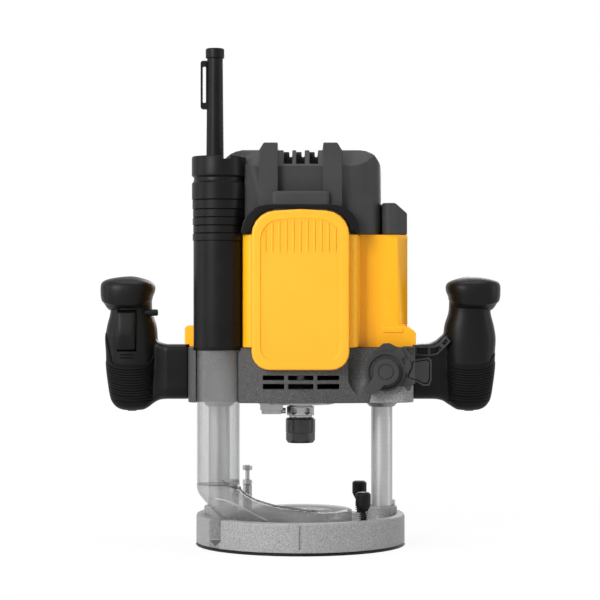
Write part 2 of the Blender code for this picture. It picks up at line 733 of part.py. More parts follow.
def build_housing():
    low = CASING_TOP + FIT
    block = prism(housing_outline(), low, HOUSING_TOP)
    housing = piece("motor_housing", block, carriage, YELLOW, 0.0, 0.45)
    # Flared feet of the towers, with a raised pad on the front of the right one
    under = CASING_HALF - 0.2
    right_foot = [
        (60, low), (under, low), (under, FOOT_LOW), (RIGHT_FOOT, FOOT_LOW), (RIGHT_FOOT, FOOT_TOP - 6.4),
        (RIGHT_FOOT - 0.9, FOOT_TOP - 4.4), (TOWER_HALF + 0.6, FOOT_TOP - 0.8), (60, FOOT_TOP),
    ]
    left_foot = [
        (60, low), (under, low), (under, FOOT_LOW), (LEFT_FOOT, FOOT_LOW), (LEFT_FOOT, FOOT_TOP - 2.4),
        (LEFT_FOOT - 1.4, FOOT_TOP - 0.4), (60, FOOT_TOP),
    ]
    front = TOWER_FRONT - 0.8
    fuse(housing, prism(right_foot, front, REAR_Y - 6, "XZ"))
    fuse(housing, flipped(prism(left_foot, -19, REAR_Y - 6, "XZ")))
    pad = rounded(63.7, 80.1, FOOT_TOP - 5.4, FOOT_TOP - 1.6, 1.2)
    fuse(housing, prism(pad, front - 0.9, front + 2, "XZ"))
    lip = rounded(43, TOWER_HALF + 0.7, TOWER_FRONT - 0.7, REAR_Y - 2, 6)
    fuse(housing, prism(lip, HOUSING_TOP - 4, HOUSING_TOP - 0.4))
    above = HOUSING_TOP + 2
    bore = [(0, low - 2), (MOTOR_BORE, low - 2), (MOTOR_BORE, 234), (30, 238), (30, above), (0, above)]
    cut(housing, turned(bore, segments=MOTOR_SIDES))
    for side in (-1, 1):
        pocket = rounded(side * COLUMN_X - 12, side * COLUMN_X + 12, -14, 16, 4)
        cut(housing, prism(pocket, low - 2, HOUSING_TOP - 5 + FIT))
    cut(housing, rod(SLEEVE_RADIUS + 1.1 + FIT, low - 4, HOUSING_TOP + 4, (DUCT_X, DUCT_Y), 28))

    for side, name in ((-1, "left"), (1, "right")):
        low = HOUSING_TOP + FIT
        if side > 0:
            plan = rounded(CAP_HALF + 0.5, TOWER_HALF - 0.2, TOWER_FRONT + 0.5, REAR_Y - 1, 6)
        else:
            inside = -CAP_HALF - 0.5
            outside = -TOWER_HALF + 0.2
            rear = REAR_Y - 1
            plan = filleted([(outside, -18, 4), (inside, -18, 2), (inside, 7.5, 0), (-57.5, 7.5, 2),
                             (-57.5, rear, 4), (outside, rear, 4)])
        cap = piece(f"{name}_column_cap", prism(plan, low, COLUMN_CAP_TOP), carriage, BLACK, 0.0, 0.5)
        wedge = prism([(74, 273), (74, 271), (84, 263), (90, 263), (90, 273)], -60, 60, "XZ")
        cut(cap, flipped(wedge) if side < 0 else wedge)


def panel_loop(inset, depth):
    half = PANEL_HALF - inset
    low = PANEL_BOTTOM + inset
    high = PANEL_TOP - inset
    side = high - PANEL_CROWN
    low_round = 14 - inset / 2
    high_round = 19 - inset / 2
    corners = [(-half, low, low_round), (half, low, low_round), (half, side, high_round), (0, high, 60),
               (-half, side, high_round)]
    return [(x, depth, z) for x, z in filleted(corners, 5)]


def build_panel():
    back = -50.0
    sections = [
        panel_loop(0, back), panel_loop(0, PANEL_FRONT + 2), panel_loop(0.6, PANEL_FRONT + 0.6),
        panel_loop(2, PANEL_FRONT),
    ]
    panel = piece("front_panel", loft(sections), carriage, YELLOW, 0.0, 0.4)
    far = 60.0
    cut(panel, box(-far, far, HOUSING_FRONT - FIT, 0, CASING_TOP, PANEL_TOP + 9))
    cut(panel, prism(casing_outline(FIT), CASING_BOTTOM, CASING_TOP + 1))
    recess = loft([panel_loop(6.4, PANEL_FRONT - 2), panel_loop(7.0, PANEL_FRONT + 0.9)])
    cut(panel, recess)
    ribs = []
    for i in range(11):
        x = -27.0 + 5.4 * i
        top = 256.0 - max(0.0, abs(x) - 18) * 0.5
        section = [(x - 0.8, PANEL_FRONT + 1.6), (x - 0.3, PANEL_FRONT + 0.1),
                   (x + 0.3, PANEL_FRONT + 0.1), (x + 0.8, PANEL_FRONT + 1.6)]
        ribs.append(prism(section, 232, top))
    fuse(panel, joined(*ribs))


def cap_outline():
    front = filleted([(0, CAP_FRONT, 0), (CAP_HALF, CAP_FRONT, 24), (CAP_HALF, 6, 4), (49.6, 6, 0)], 6)
    half = front[1:-1] + arc((0, 0), DRUM_RADIUS, 7, 90, 8)[:-1]
    return half + [(0, DRUM_RADIUS)] + [(-x, y) for x, y in reversed(half)]


def build_cap():
    low = HOUSING_TOP + FIT
    cap = piece("motor_cap", prism(cap_outline(), low, CAP_TOP), carriage, BLACK, 0.0, 0.5)
    # Round shoulders seen from the front
    far = 70.0
    shoulder = rounded(-CAP_HALF - 0.01, CAP_HALF + 0.01, low - 40, CAP_TOP + 0.01, 1, 17, 6)
    keep(cap, prism(shoulder, -far, far, "XZ"))
    slope = [
        (CAP_FRONT - 2, 299), (CAP_FRONT, 299.5), (CAP_FRONT + 14, CAP_TOP + 0.5),
        (CAP_FRONT + 14, CAP_TOP + 4), (CAP_FRONT - 2, CAP_TOP + 4),
    ]
    cut(cap, prism(slope, -far, far, "YZ"))
    # Two skids that run over the top
    for side in (-1, 1):
        skid = [(17.6, 255), (32.2, 255), (32.2, 311), (28.5, CAP_LUG_TOP), (17.6, CAP_LUG_TOP)]
        shape = prism(skid, -54, 36, "XZ")
        fuse(cap, flipped(shape) if side < 0 else shape)
    # Step and arch above the front panel
    fuse(cap, prism(rounded(-22, 22, 258, 279, 1, 5), -57.5, -40, "XZ"))
    arch = filleted([(-46, low, 0), (46, low, 0), (46, 269, 22), (-46, 269, 22)], 8)
    fuse(cap, prism(arch, -60, -40, "XZ"))
    pocket = rounded(-PANEL_HALF - 0.5, PANEL_HALF + 0.5, 200, PANEL_TOP + 0.5, 1, 19.5, 6)
    cut(cap, prism(pocket, -far, HOUSING_FRONT, "XZ"))
    # Inside, grille slots and room for the dust sleeve
    cut(cap, rod(40, low - 2, 302, segments=MOTOR_SIDES))
    slots = []
    for x in (-9.8, 0, 10.4):
        slots.append(box(x - 3.3, x + 3.3, -far, -14, 301, CAP_TOP + 9))
    cut(cap, joined(*slots))
    drains = [box(x + 0.9, x + 3.3, -15, far, 308.5, CAP_TOP + 9) for x in (-9.8, 0, 10.4)]
    cut(cap, joined(*drains))
    cut(cap, rod(SLEEVE_RADIUS + 1.3 + FIT, low - 4, CAP_LUG_TOP + 4, (DUCT_X, DUCT_Y), 28))


def build_guard():
    at = (GUARD_X, GUARD_Y)
    low = COLUMN_CAP_TOP + FIT
    bore = 4.2
    profile = [
        (bore, low), (7.6, low), (6.5, 390), (7.75, 390.2), (7.75, GUARD_TOP - 1), (7, GUARD_TOP),
        (bore, GUARD_TOP),
    ]
    guard = piece("cord_guard", turned(profile, at, 12), carriage, BLACK, 0.0, 0.5)
    outer = rounded(GUARD_X - 11.6, GUARD_X - 5, 349, 388, 2)
    fuse(guard, prism(outer, GUARD_Y - 3, GUARD_Y + 3, "XZ"))
    inner = rounded(GUARD_X - 9.8, GUARD_X - 7.3, 354, 383.5, 1)
    cut(guard, prism(inner, GUARD_Y - 5, GUARD_Y + 5, "XZ"))
    cut(guard, rod(bore, low - 2, GUARD_TOP + 2, at, 12))


# Handles

GRIP = [
    (107.2, -8, 5, 6), (108.6, -12, 9.5, 10.5), (111, -15.6, 12.4, 14), (116, -19.5, 15.5, 16.5),
    (129, -20.6, 17.9, 18), (142, -21.3, 19.4, 18.8), (153.5, -21.6, 19.8, 19), (164.6, -21.4, 20.4, 19),
    (175, -20.4, 18.8, 18), (185.4, -17.2, 16.3, 16.5), (190.5, -16.6, 16.6, 16.4),
]
POMMEL = [
    (190.8, -15.5, 16, 15.5), (192, -16.9, 19, 18), (196.4, -17.4, 22.6, 20.5), (204.6, -19.2, 24.4, 22),
    (208.5, -17.9, 23.2, 20.6), (211.5, -11.5, 15.5, 15), (214, -2.5, 3.5, 7),
]


# Where each arm rises and narrows into its grip, and by how much
ARM_ROOT = HANDLE_X - 28.6
ARM_RISE = {
    "left": [(ARM_ROOT, 0, 0), (ARM_ROOT + 5, 1.2, 2), (ARM_ROOT + 9, 4, 4), (ARM_ROOT + 14, 8, 5.5)],
    "right": [
        (ARM_ROOT - 3, 0.8, 0), (ARM_ROOT + 1.6, 2.8, 0.3), (ARM_ROOT + 6.5, 7.2, 1), (ARM_ROOT + 14, 15, 3),
    ],
}


def grip_at(height):
    """Inner reach, outer reach and half depth of the grip at one height."""
    for low, high in zip(GRIP, GRIP[1:]):
        if height <= high[0]:
            share = (height - low[0]) / (high[0] - low[0])
            return [a + (b - a) * share for a, b in zip(low[1:], high[1:])]
    return GRIP[-1][1:]


def oval(side, height, inner, outer, depth, grow=0.0):
    """Rounded-square loop of a handle section."""
    middle = (inner + outer) / 2
    reach = (outer - inner) / 2 + grow
    loop = []
    for i in range(14):
        angle = math.tau * (i + 0.5) / 14
        c = math.cos(angle)
        s = math.sin(angle)
        x = middle + reach * math.copysign(abs(c) ** 0.78, c)
        y = (depth + grow) * math.copysign(abs(s) ** 0.78, s)
        loop.append((side * (HANDLE_X + x), y, height))
    return loop


def build_handles():
    skin = 1.8
    for side, name in ((-1, "left"), (1, "right")):
        sections = []
        for station in GRIP:
            height = station[0]
            inside = SLEEVE_GRIP_LOW <= height <= SLEEVE_GRIP_HIGH
            sections.append(oval(side, *station, -skin if inside else 0.0))
        low_edge = SLEEVE_GRIP_LOW - 0.01
        high_edge = SLEEVE_GRIP_HIGH
        sections.append(oval(side, high_edge, *grip_at(high_edge), -skin))
        sections.append(oval(side, high_edge + 0.01, *grip_at(high_edge)))
        sections.append(oval(side, low_edge, *grip_at(low_edge)))
        sections.sort(key=lambda loop: loop[0][2])
        handle = piece(f"{name}_handle", loft(sections), carriage, BLACK, 0.0, 0.45)
        arm = []
        top_round = 8 if side < 0 else 3
        for x, rise, narrow in ((CASING_HALF + FIT, 0, 0), *ARM_RISE[name]):
            half = ARM_HALF_DEPTH - narrow
            outline = rounded(-half, half, ARM_BOTTOM, ARM_TOP + rise, 8, top_round)
            arm.append([(side * x, y, z) for y, z in outline])
        fuse(handle, loft(arm))
        pommel = loft([oval(side, *station) for station in POMMEL])
        piece(f"{name}_pommel", pommel, carriage, BLACK, 0.0, 0.45)

        # Ribbed rubber sleeve, open towards the arm
        low = SLEEVE_GRIP_LOW + FIT
        high = SLEEVE_GRIP_HIGH - FIT
        outer = []
        step = (high - low) / RIB_COUNT
        for i in range(RIB_COUNT):
            for share, grow in ((0.0, -0.8), (0.5, 0.0)):
                z = low + (i + share) * step
                outer.append(oval(side, z, *grip_at(z), grow))
        outer.append(oval(side, high, *grip_at(high), -0.7))
        sleeve = piece(f"{name}_grip_sleeve", loft(outer), carriage, BLACK, 0.0, 0.7)
        heights = [low - 2, low] + [s[0] for s in GRIP if low < s[0] < high] + [high, high + 2]
        core = loft([oval(side, z, *grip_at(z), -skin + FIT) for z in heights])
        cut(sleeve, core)
        edge = ARM_HALF_DEPTH + 1
        arm_room = box(80, HANDLE_X - 10, -edge, edge, SLEEVE_GRIP_LOW - 5, ARM_TOP)
        cut(sleeve, flipped(arm_room) if side < 0 else arm_room)
        if side < 0:
            fit_trigger(handle)
        else:
            carve_arm(handle)


def carve_arm(handle):
    """Three cells along the top and a sunk pad on the front of the right arm."""
    front = -ARM_HALF_DEPTH
    cells = [
        [(91.9, 152.3), (100.6, 152.3), (100.6, 156.9), (91.9, 156.9)],
        [(102.8, 152.0), (106.7, 152.5), (109.4, 153.8), (112.5, 157.0), (110.2, 158.6), (106.7, 157.2),
         (102.8, 156.6)],
        [(113.9, 158.8), (117.3, 162.3), (114.9, 164.2), (112.2, 160.4)],
    ]
    for cell in cells:
        cut(handle, prism(cell, front - 5, front + 3, "XZ"))
    pad = filleted([(89.2, 132.2, 1), (93.2, 131, 1), (97.4, 128.6, 1.5), (101, 128.6, 1.5), (102.3, 132, 1),
                    (102.3, 146.4, 1), (100.7, 148.2, 1), (89.2, 146.4, 1)], 2)
    cut(handle, prism(pad, front - 5, front + 1.2, "XZ"))


def fit_trigger(handle):
    """Trigger, lock button and switch block of the left handle."""
    x0 = -HANDLE_X - 9.8
    x1 = -HANDLE_X + 5.8
    low = 155.0
    high = 186.0
    cut(handle, box(x0 - RUN, x1 + RUN, -30, -5.5, low - 1.2, high + 1.6))
    cut(handle, box(x0 + 2, x1 - 2, -7, 9.4, 158, 183))
    profile = filleted([(-20.6, low, 2), (-22.4, 166, 8), (-20.8, 178, 8), (-18.8, high, 2), (-13, high, 1),
                        (-10.5, 160, 2), (-10.5, low, 1)])
    piece("trigger", prism(profile, x0, x1, "YZ"), trigger_body, BLACK, 0.0, 0.4)
    block = box(x0 + 2.4, x1 - 2.4, -4.6, 9.1, 158.4, 182.6)
    piece("switch_block", block, carriage, CASING_GREY, 0.0, 0.6)
    axis = (-11, 185)
    inside = -HANDLE_X + 10
    cut(handle, rod(3.0, inside - 3.4, inside + 17.6, axis, 14, "X"))
    button = rod(2.6, inside, inside + 12.4, axis, 14, "X", 0.6)
    piece("lock_button", button, button_body, BLACK, 0.0, 0.4)
    # Slots below the trigger
    for z in (148.5, 151):
        cut(handle, box(x0 + 1, x1 - 1, -30, -16.6, z, z + 1.3))


# Plunge lock lever

def build_lock():
    hub = (LOCK_X, LOCK_Z)
    back = COVER_FRONT + 16
    disc = prism(arc(hub, 15.4, 0, 345, 23), back, COVER_FRONT, "XZ")
    cover = piece("lock_cover", disc, carriage, BLACK, 0.0, 0.5)
    # Plate behind the disc, and the two raised tabs on it, as offsets from the hub
    plate = [
        (2, -12, 2), (16.6, -3.6, 2), (20.4, 4.1, 2), (19.1, 8.6, 1), (16.6, 9.8, 0.5), (15.9, 13.1, 1),
        (12.1, 18.8, 1), (9.5, 18.8, 0.5), (3.1, 22.1, 2), (-2.1, 21.8, 2), (-5.3, 18.8, 1), (-12, 8, 2),
    ]
    front_tab = [(4.3, 14.7, 1), (11.7, 7.9, 1), (15.3, 12.6, 1), (12, 18, 1), (9.7, 18, 1)]
    side_tab = [(13.9, 4.1, 1), (16.4, -3.2, 1), (19.8, 4.1, 1), (18.6, 8.3, 1), (16.4, 9.2, 1)]
    layers = ((plate, COVER_FRONT + 1.8), (front_tab, COVER_FRONT + 0.4), (side_tab, COVER_FRONT + 0.4))
    for corners, front in layers:
        outline = filleted([(LOCK_X + x, LOCK_Z + z, radius) for x, z, radius in corners], 2)
        fuse(cover, prism(outline, back + 0.3, front, "XZ"))
    cut(cover, prism(casing_outline(FIT), CASING_BOTTOM - 5, CASING_TOP + FIT))
    cut(cover, box(40, 100, -48.5, 0, CASING_TOP - 1, 200))
    cut(cover, rod(LOCK_BOLT + FIT, -80, -20, hub, 12, "Y"))
    # Groove round the lever's disc
    high = COVER_FRONT - 2
    floor = COVER_FRONT + 1.4
    cut(cover, turned([(10.8, high), (13.4, high), (13.4, floor), (10.8, floor)], hub, 16, "Y"))
    low = COVER_FRONT - FIT
    blade = [(-14, -10.5), (-15, -14.7), (-10.9, -17.9), (-4.8, -13.7)]
    outline = arc(hub, 10, -97, 200, 22) + [(LOCK_X + x, LOCK_Z + z) for x, z in blade]
    lever = piece("lock_lever", prism(outline, LEVER_FRONT, low, "XZ"), lever_body, BLACK, 0.0, 0.4)
    high = LEVER_FRONT - 2
    floor = LEVER_FRONT + 0.8
    cut(lever, turned([(5.4, high), (6.4, high), (6.4, floor), (5.4, floor)], hub, 20, "Y"))
    cut(lever, rod(LOCK_BOLT + FIT, LEVER_FRONT + 3, low + 2, hub, 12, "Y"))
    bolt = rod(LOCK_BOLT, LEVER_FRONT + 3.3, -COLUMN_RADIUS - RUN, hub, 12, "Y")
    piece("lock_bolt", bolt, lever_body, STEEL, 1.0, 0.35)


# Motor, spindle and collet

def build_motor():
    room = SHANK_RADIUS + 0.3
    seat = SPINDLE_SEAT - FIT
    spindle = [
        (0, 124), (room, 124), (room, 104), (8.2, 104), (8.2, 87), (NOSE_RADIUS, 87),
        (NOSE_RADIUS, NUT_TOP + 0.4), (9.7, NUT_TOP + 0.4), (9.7, COLLAR_LOW), (COLLAR_RADIUS, COLLAR_LOW),
        (COLLAR_RADIUS, COLLAR_HIGH), (9.9, COLLAR_HIGH), (9.9, BEARING_LOW - FIT), (seat, BEARING_LOW - FIT),
        (seat, 140), (8, 140), (8, 246), (7, 246), (7, 267), (4.7, 267), (4.7, 275), (0, 275),
    ]
    shaft = piece("spindle", turned(spindle, segments=10), spindle_body, STEEL, 1.0, 0.3)
    middle = (COLLAR_LOW + COLLAR_HIGH) / 2
    # Six radial lock holes in the collar
    holes = []
    for i in range(6):
        hole = rod(LOCK_PIN + 0.45, 7.5, 20, (0, middle), 6, "X")
        holes.append(swung(hole, 60 * i))
    cut(shaft, joined(*holes))
    bearing = [
        (SPINDLE_SEAT, BEARING_LOW), (BEARING_RADIUS, BEARING_LOW), (BEARING_RADIUS, BEARING_HIGH),
        (SPINDLE_SEAT, BEARING_HIGH),
    ]
    piece("lower_bearing", turned(bearing, segments=14), carriage, STEEL, 1.0, 0.3)
    upper = [(5, 268), (11, 268), (11, 275), (5, 275)]
    piece("upper_bearing", turned(upper, segments=10), carriage, STEEL, 1.0, 0.3)
    low = HOUSING_TOP + FIT
    bracket = [
        (19.5, low), (38, low), (38, 250), (23, 250), (23, 279), (7, 279), (7, 275.6), (11.3, 275.6),
        (11.3, 267.6), (19.5, 267.6),
    ]
    holder = piece("bearing_bracket", turned(bracket, segments=10), carriage, CAST_GREY, 0.6, 0.6)
    cut(holder, box(-30, 30, -5.4, 5.4, 250.6, 262.4))
    for side, name in ((-1, "left"), (1, "right")):
        brush = box(15.6, 36, -5, 5, 251, 262)
        brush = flipped(brush) if side < 0 else brush
        piece(f"{name}_brush_holder", brush, carriage, COPPER, 0.6, 0.5)
    outer = MOTOR_BORE - FIT
    stator = [(27, 176), (outer, 176), (outer, 226), (27, 226)]
    piece("stator", turned(stator, segments=MOTOR_SIDES), carriage, COPPER, 0.6, 0.5)
    core = [(8 + FIT, 178), (26.3, 178), (26.3, 224), (8 + FIT, 224)]
    piece("armature", turned(core, segments=14), spindle_body, COPPER, 0.6, 0.5)
    ring = [(7 + FIT, 248), (15, 248), (15, 264.5), (7 + FIT, 264.5)]
    piece("commutator", turned(ring, segments=14), spindle_body, COPPER, 1.0, 0.35)
    hub = [(8 + FIT, 142), (14, 142), (14, 143), (39, 143), (39, 145), (14, 145), (14, 156), (8 + FIT, 156)]
    fan = piece("fan", turned(hub, segments=12), spindle_body, BLACK, 0.0, 0.5)
    blades = []
    for i in range(6):
        blade = box(16, 38.5, -0.8, 0.8, 144.5, 155)
        blades.append(swung(blade, 60 * i))
    fuse(fan, joined(*blades))

    retainer = [(10.6, 112), (27, 112), (27, CASING_BOTTOM - FIT), (10.6, CASING_BOTTOM - FIT)]
    plate = piece("retainer_plate", turned(retainer, segments=18), carriage, STEEL, 1.0, 0.4)
    fuse(plate, box(-33, -18, -11.5, 11.5, 112.4, CASING_BOTTOM - FIT - 0.2))
    for side in (-1, 1):
        y0, y1 = sorted((side * 9.4, side * 11.4))
        fuse(plate, box(-32, -14, y0, y1, 107.5, 113.4))
    slide = piece("spindle_lock", box(-31, -15.2, -9, 9, 104.2, 111.7), lock_slide, CAST_GREY, 0.6, 0.5)
    fuse(slide, rod(LOCK_PIN, -18, -COLLAR_RADIUS - RUN, (0, middle), 16, "X"))
    cut(slide, box(-32, -22, -4, 4, 110.4, 113))


def build_collet():
    bore = [
        (NOSE_RADIUS + FIT, NUT_TOP), (NOSE_RADIUS + FIT, 86.6), (8.2, 86.6), (8.2, NUT_BOTTOM + 2.2),
        (7, NUT_BOTTOM + 2.2), (7, NUT_BOTTOM),
    ]
    outside = [
        (10.2, NUT_BOTTOM), (NUT_RADIUS - 0.2, 83.4), (NUT_RADIUS - 0.2, 89), (NUT_RADIUS, 90),
        (NUT_RADIUS, NUT_TOP - 1.2), (NUT_RADIUS - 1.2, NUT_TOP),
    ]
    nut = piece("collet_nut", turned(bore + outside, segments=16), nut_body, BLACK, 0.6, 0.35)
    flats = []
    for i in range(6):
        flat = box(10.5, 16, -6, 6, NUT_BOTTOM - 3, 89)
        flats.append(swung(flat, 60 * i + 30))
    cut(nut, joined(*flats))
    low = NUT_BOTTOM + 2.5
    sleeve = [(SHANK_RADIUS, low), (7.9, low), (7.9, 103.6), (SHANK_RADIUS, 103.6)]
    collet = piece("collet", turned(sleeve, segments=10), spindle_body, STEEL, 1.0, 0.3)
    for degrees in (0, 90):
        cut(collet, swung(box(-10, 10, -0.5, 0.5, NUT_BOTTOM, 99), degrees))


build_base()
build_columns()
build_dust()
build_stops()
build_fence_clamps()
build_casing()
build_housing()
build_panel()
build_cap()
build_guard()
build_handles()
build_lock()
build_motor()
build_collet()
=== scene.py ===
"""Looks of the plunge router: finishes, moulded handles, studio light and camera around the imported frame."""

import json
import math

import bmesh
import bpy
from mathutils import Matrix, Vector
from mathutils.bvhtree import BVHTree


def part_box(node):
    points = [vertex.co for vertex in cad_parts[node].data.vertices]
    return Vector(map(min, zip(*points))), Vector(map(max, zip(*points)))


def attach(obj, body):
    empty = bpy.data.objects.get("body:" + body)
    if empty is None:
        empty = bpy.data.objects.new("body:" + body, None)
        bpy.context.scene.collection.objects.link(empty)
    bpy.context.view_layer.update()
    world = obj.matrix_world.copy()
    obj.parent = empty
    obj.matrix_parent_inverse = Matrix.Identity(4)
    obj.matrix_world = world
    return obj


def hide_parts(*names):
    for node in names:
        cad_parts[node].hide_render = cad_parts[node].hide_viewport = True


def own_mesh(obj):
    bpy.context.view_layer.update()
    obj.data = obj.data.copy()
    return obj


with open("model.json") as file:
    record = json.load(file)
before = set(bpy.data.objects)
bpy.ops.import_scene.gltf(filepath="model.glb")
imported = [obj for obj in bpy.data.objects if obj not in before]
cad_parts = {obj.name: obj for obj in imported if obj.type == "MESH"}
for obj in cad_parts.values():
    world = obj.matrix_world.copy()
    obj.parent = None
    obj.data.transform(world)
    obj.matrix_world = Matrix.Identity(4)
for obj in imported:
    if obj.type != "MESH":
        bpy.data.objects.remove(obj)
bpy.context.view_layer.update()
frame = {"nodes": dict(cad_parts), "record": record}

MM = 0.001
CAMERA_PLACE = (-0.0004, -1.652, 0.195)
CAMERA_LENS = 123.9
SENSOR_WIDTH = 36.0

# Edge rounding: angles, then room at an edge's end and the second bevel as shares of the bevel's width
ROUND_ABOVE = math.radians(38)
STILL_SHARP_ABOVE = math.radians(55)
SMOOTH_BELOW = math.radians(36)
FLAT_WITHIN = math.radians(0.6)
ROOM_AT_END = 2.2
NARROW = 0.4
# Rounding of what has none of its own, and distance within which split points are joined, in millimetres
PLAIN_ROUNDING = 0.3
WELD_WITHIN = 0.001
# Turn within which points of a turned node lie at one corner
SAME_TURN = 0.01
# Sides of round things
TURNED_SIDES = 72
FINE_SIDES = 96
HOLE_SIDES = 32
FLUTE_SIDES = 28
PIN_SIDES = 16
BAR_SIDES = 10


# Finishes

class Finish:
    """A material whose nodes are added one by one, all in object coordinates."""

    def __init__(self, name):
        self.material = bpy.data.materials.new(name)
        self.material.use_nodes = True
        self.tree = self.material.node_tree
        self.shader = self.tree.nodes["Principled BSDF"]
        self.space = self.tree.nodes.new("ShaderNodeTexCoord").outputs["Object"]

    def link(self, output, target):
        self.tree.links.new(output, target)

    def stretched(self, scale):
        mapping = self.tree.nodes.new("ShaderNodeMapping")
        mapping.inputs["Scale"].default_value = scale
        self.link(self.space, mapping.inputs["Vector"])
        return mapping.outputs["Vector"]

    def noise(self, scale, detail=2.0, space=None):
        node = self.tree.nodes.new("ShaderNodeTexNoise")
        node.inputs["Scale"].default_value = scale
        node.inputs["Detail"].default_value = detail
        self.link(space or self.space, node.inputs["Vector"])
        return node.outputs["Fac"]

    def ramp(self, value, stops):
        """Colours or greys at positions from 0 to 1."""
        node = self.tree.nodes.new("ShaderNodeValToRGB")
        points = node.color_ramp.elements
        while len(points) < len(stops):
            points.new(0.5)
        for point, (place, colour) in zip(points, stops):
            point.position = place
            point.color = (*colour, 1) if isinstance(colour, tuple) else (colour, colour, colour, 1)
        self.link(value, node.inputs["Fac"])
        return node.outputs["Color"]

    def colour(self, output):
        self.link(output, self.shader.inputs["Base Color"])

    def roughness(self, value, low, high):
        node = self.tree.nodes.new("ShaderNodeMapRange")
        node.inputs["To Min"].default_value = low
        node.inputs["To Max"].default_value = high
        self.link(value, node.inputs["Value"])
        self.link(node.outputs["Result"], self.shader.inputs["Roughness"])

    def bump(self, value, strength, distance):
        node = self.tree.nodes.new("ShaderNodeBump")
        node.inputs["Strength"].default_value = strength
        node.inputs["Distance"].default_value = distance
        self.link(value, node.inputs["Height"])
        self.link(node.outputs["Normal"], self.shader.inputs["Normal"])

    def set(self, **sockets):
        """Constant shader values, by socket name with underscores for spaces."""
        for name, value in sockets.items():
            self.shader.inputs[name.replace("_", " ")].default_value = value


def yellow_plastic(name, deep, pale):
    made = Finish(name)
    made.colour(made.ramp(made.noise(scale=9.0, detail=3.0), [(0.3, deep), (0.7, pale)]))
    made.roughness(made.noise(scale=60.0, detail=4.0), low=0.32, high=0.44)
    made.bump(made.noise(scale=1900.0), strength=0.05, distance=0.0002)
    made.set(Specular_IOR_Level=0.3)
    return made.material


def black_plastic(name, dark, light, low, high, grain, shine):
    made = Finish(name)
    made.colour(made.ramp(made.noise(scale=38.0, detail=5.0), [(0.3, dark), (0.7, light)]))
    made.roughness(made.noise(scale=120.0, detail=3.0), low, high)
    made.bump(made.noise(scale=2200.0), strength=grain, distance=0.0002)
    made.set(Specular_IOR_Level=shine)
    return made.material


def speckled_casing(name, share):
    """Grey with fine specks, lighter or darker by a share; a share above 1 is painted light."""
    made = Finish(name)
    specks = made.noise(scale=1500.0, detail=3.0)
    made.colour(made.ramp(specks, [(place, grey * share) for place, grey in SPECK_GREYS]))
    made.roughness(made.noise(scale=300.0), low=0.42, high=0.6)
    made.bump(made.noise(scale=900.0, detail=4.0), strength=0.2, distance=0.0003)
    made.set(Specular_IOR_Level=0.3)
    return made.material


def grainy_cast():
    made = Finish("grainy_cast")
    grain = made.noise(scale=1000.0, detail=4.0)
    made.colour(made.ramp(grain, [(0.32, 0.21), (0.5, 0.295), (0.68, 0.39)]))
    made.roughness(made.noise(scale=400.0), low=0.5, high=0.66)
    made.bump(grain, strength=0.35, distance=0.0004)
    made.set(Metallic=0.2, Specular_IOR_Level=0.3)
    return made.material


def turned_steel(name, dark, light, scale, low, high):
    """Metal with fine lines or grain, by the scale along each axis."""
    made = Finish(name)
    lines = made.noise(scale=1.0, detail=3.0, space=made.stretched(scale))
    made.colour(made.ramp(lines, [(0.3, dark), (0.7, light)]))
    made.roughness(lines, low, high)
    made.bump(lines, strength=0.03, distance=0.0001)
    made.set(Metallic=1.0)
    return made.material


def clear_plastic(name, grey, clear, density):
    """Hazy see-through plastic, darker where a wall is seen edge on because it absorbs light inside."""
    made = Finish(name)
    haze = made.noise(scale=45.0, detail=3.0)
    made.colour(made.ramp(haze, [(0.3, grey), (0.7, grey + HAZE_GREY)]))
    made.roughness(made.noise(scale=90.0), low=0.08, high=0.16)
    through = made.tree.nodes.new("ShaderNodeBsdfTransparent")
    through.inputs["Color"].default_value = CLEAR_TINT
    mix = made.tree.nodes.new("ShaderNodeMixShader")
    made.link(made.ramp(haze, [(0.3, clear), (0.7, clear + HAZE_CLEAR)]), mix.inputs["Fac"])
    made.link(made.shader.outputs["BSDF"], mix.inputs[1])
    made.link(through.outputs["BSDF"], mix.inputs[2])
    inside = made.tree.nodes.new("ShaderNodeVolumeAbsorption")
    inside.inputs["Color"].default_value = SMOKE
    inside.inputs["Density"].default_value = density
    output = made.tree.nodes["Material Output"]
    made.link(mix.outputs["Shader"], output.inputs["Surface"])
    made.link(inside.outputs["Volume"], output.inputs["Volume"])
    return made.material


# Places on the noise and greys of the casing's specks
SPECK_GREYS = [(0.36, 0.04), (0.5, 0.075), (0.62, 0.11), (0.74, 0.2)]
# How far haze lightens the grey and the clear share of clear plastic
HAZE_GREY = 0.06
HAZE_CLEAR = 0.04
CLEAR_TINT = (0.975, 0.978, 0.98, 1)
SMOKE = (0.5, 0.5, 0.5, 1)
# Dark and light grey, low and high roughness, grain and shine
BLACKS = {
    "black_plastic": (0.0035, 0.0065, 0.34, 0.46, 0.1, 0.14),
    "grip_rubber": (0.0035, 0.006, 0.5, 0.66, 0.2, 0.1),
    "black_steel": (0.006, 0.012, 0.28, 0.42, 0.05, 0.3),
    "cap_black": (0.044, 0.054, 0.36, 0.48, 0.1, 0.1),
    "gloss_black": (0.006, 0.010, 0.2, 0.28, 0.03, 0.12),
    "nut_black": (0.016, 0.024, 0.24, 0.32, 0.03, 0.4),
    # Lighter black of the right arm's pad and rim is painted light, where the lamps leave them in shade beside
    # the flange
    "pad_painted_light": (0.088, 0.104, 0.36, 0.48, 0.1, 0.1),
}
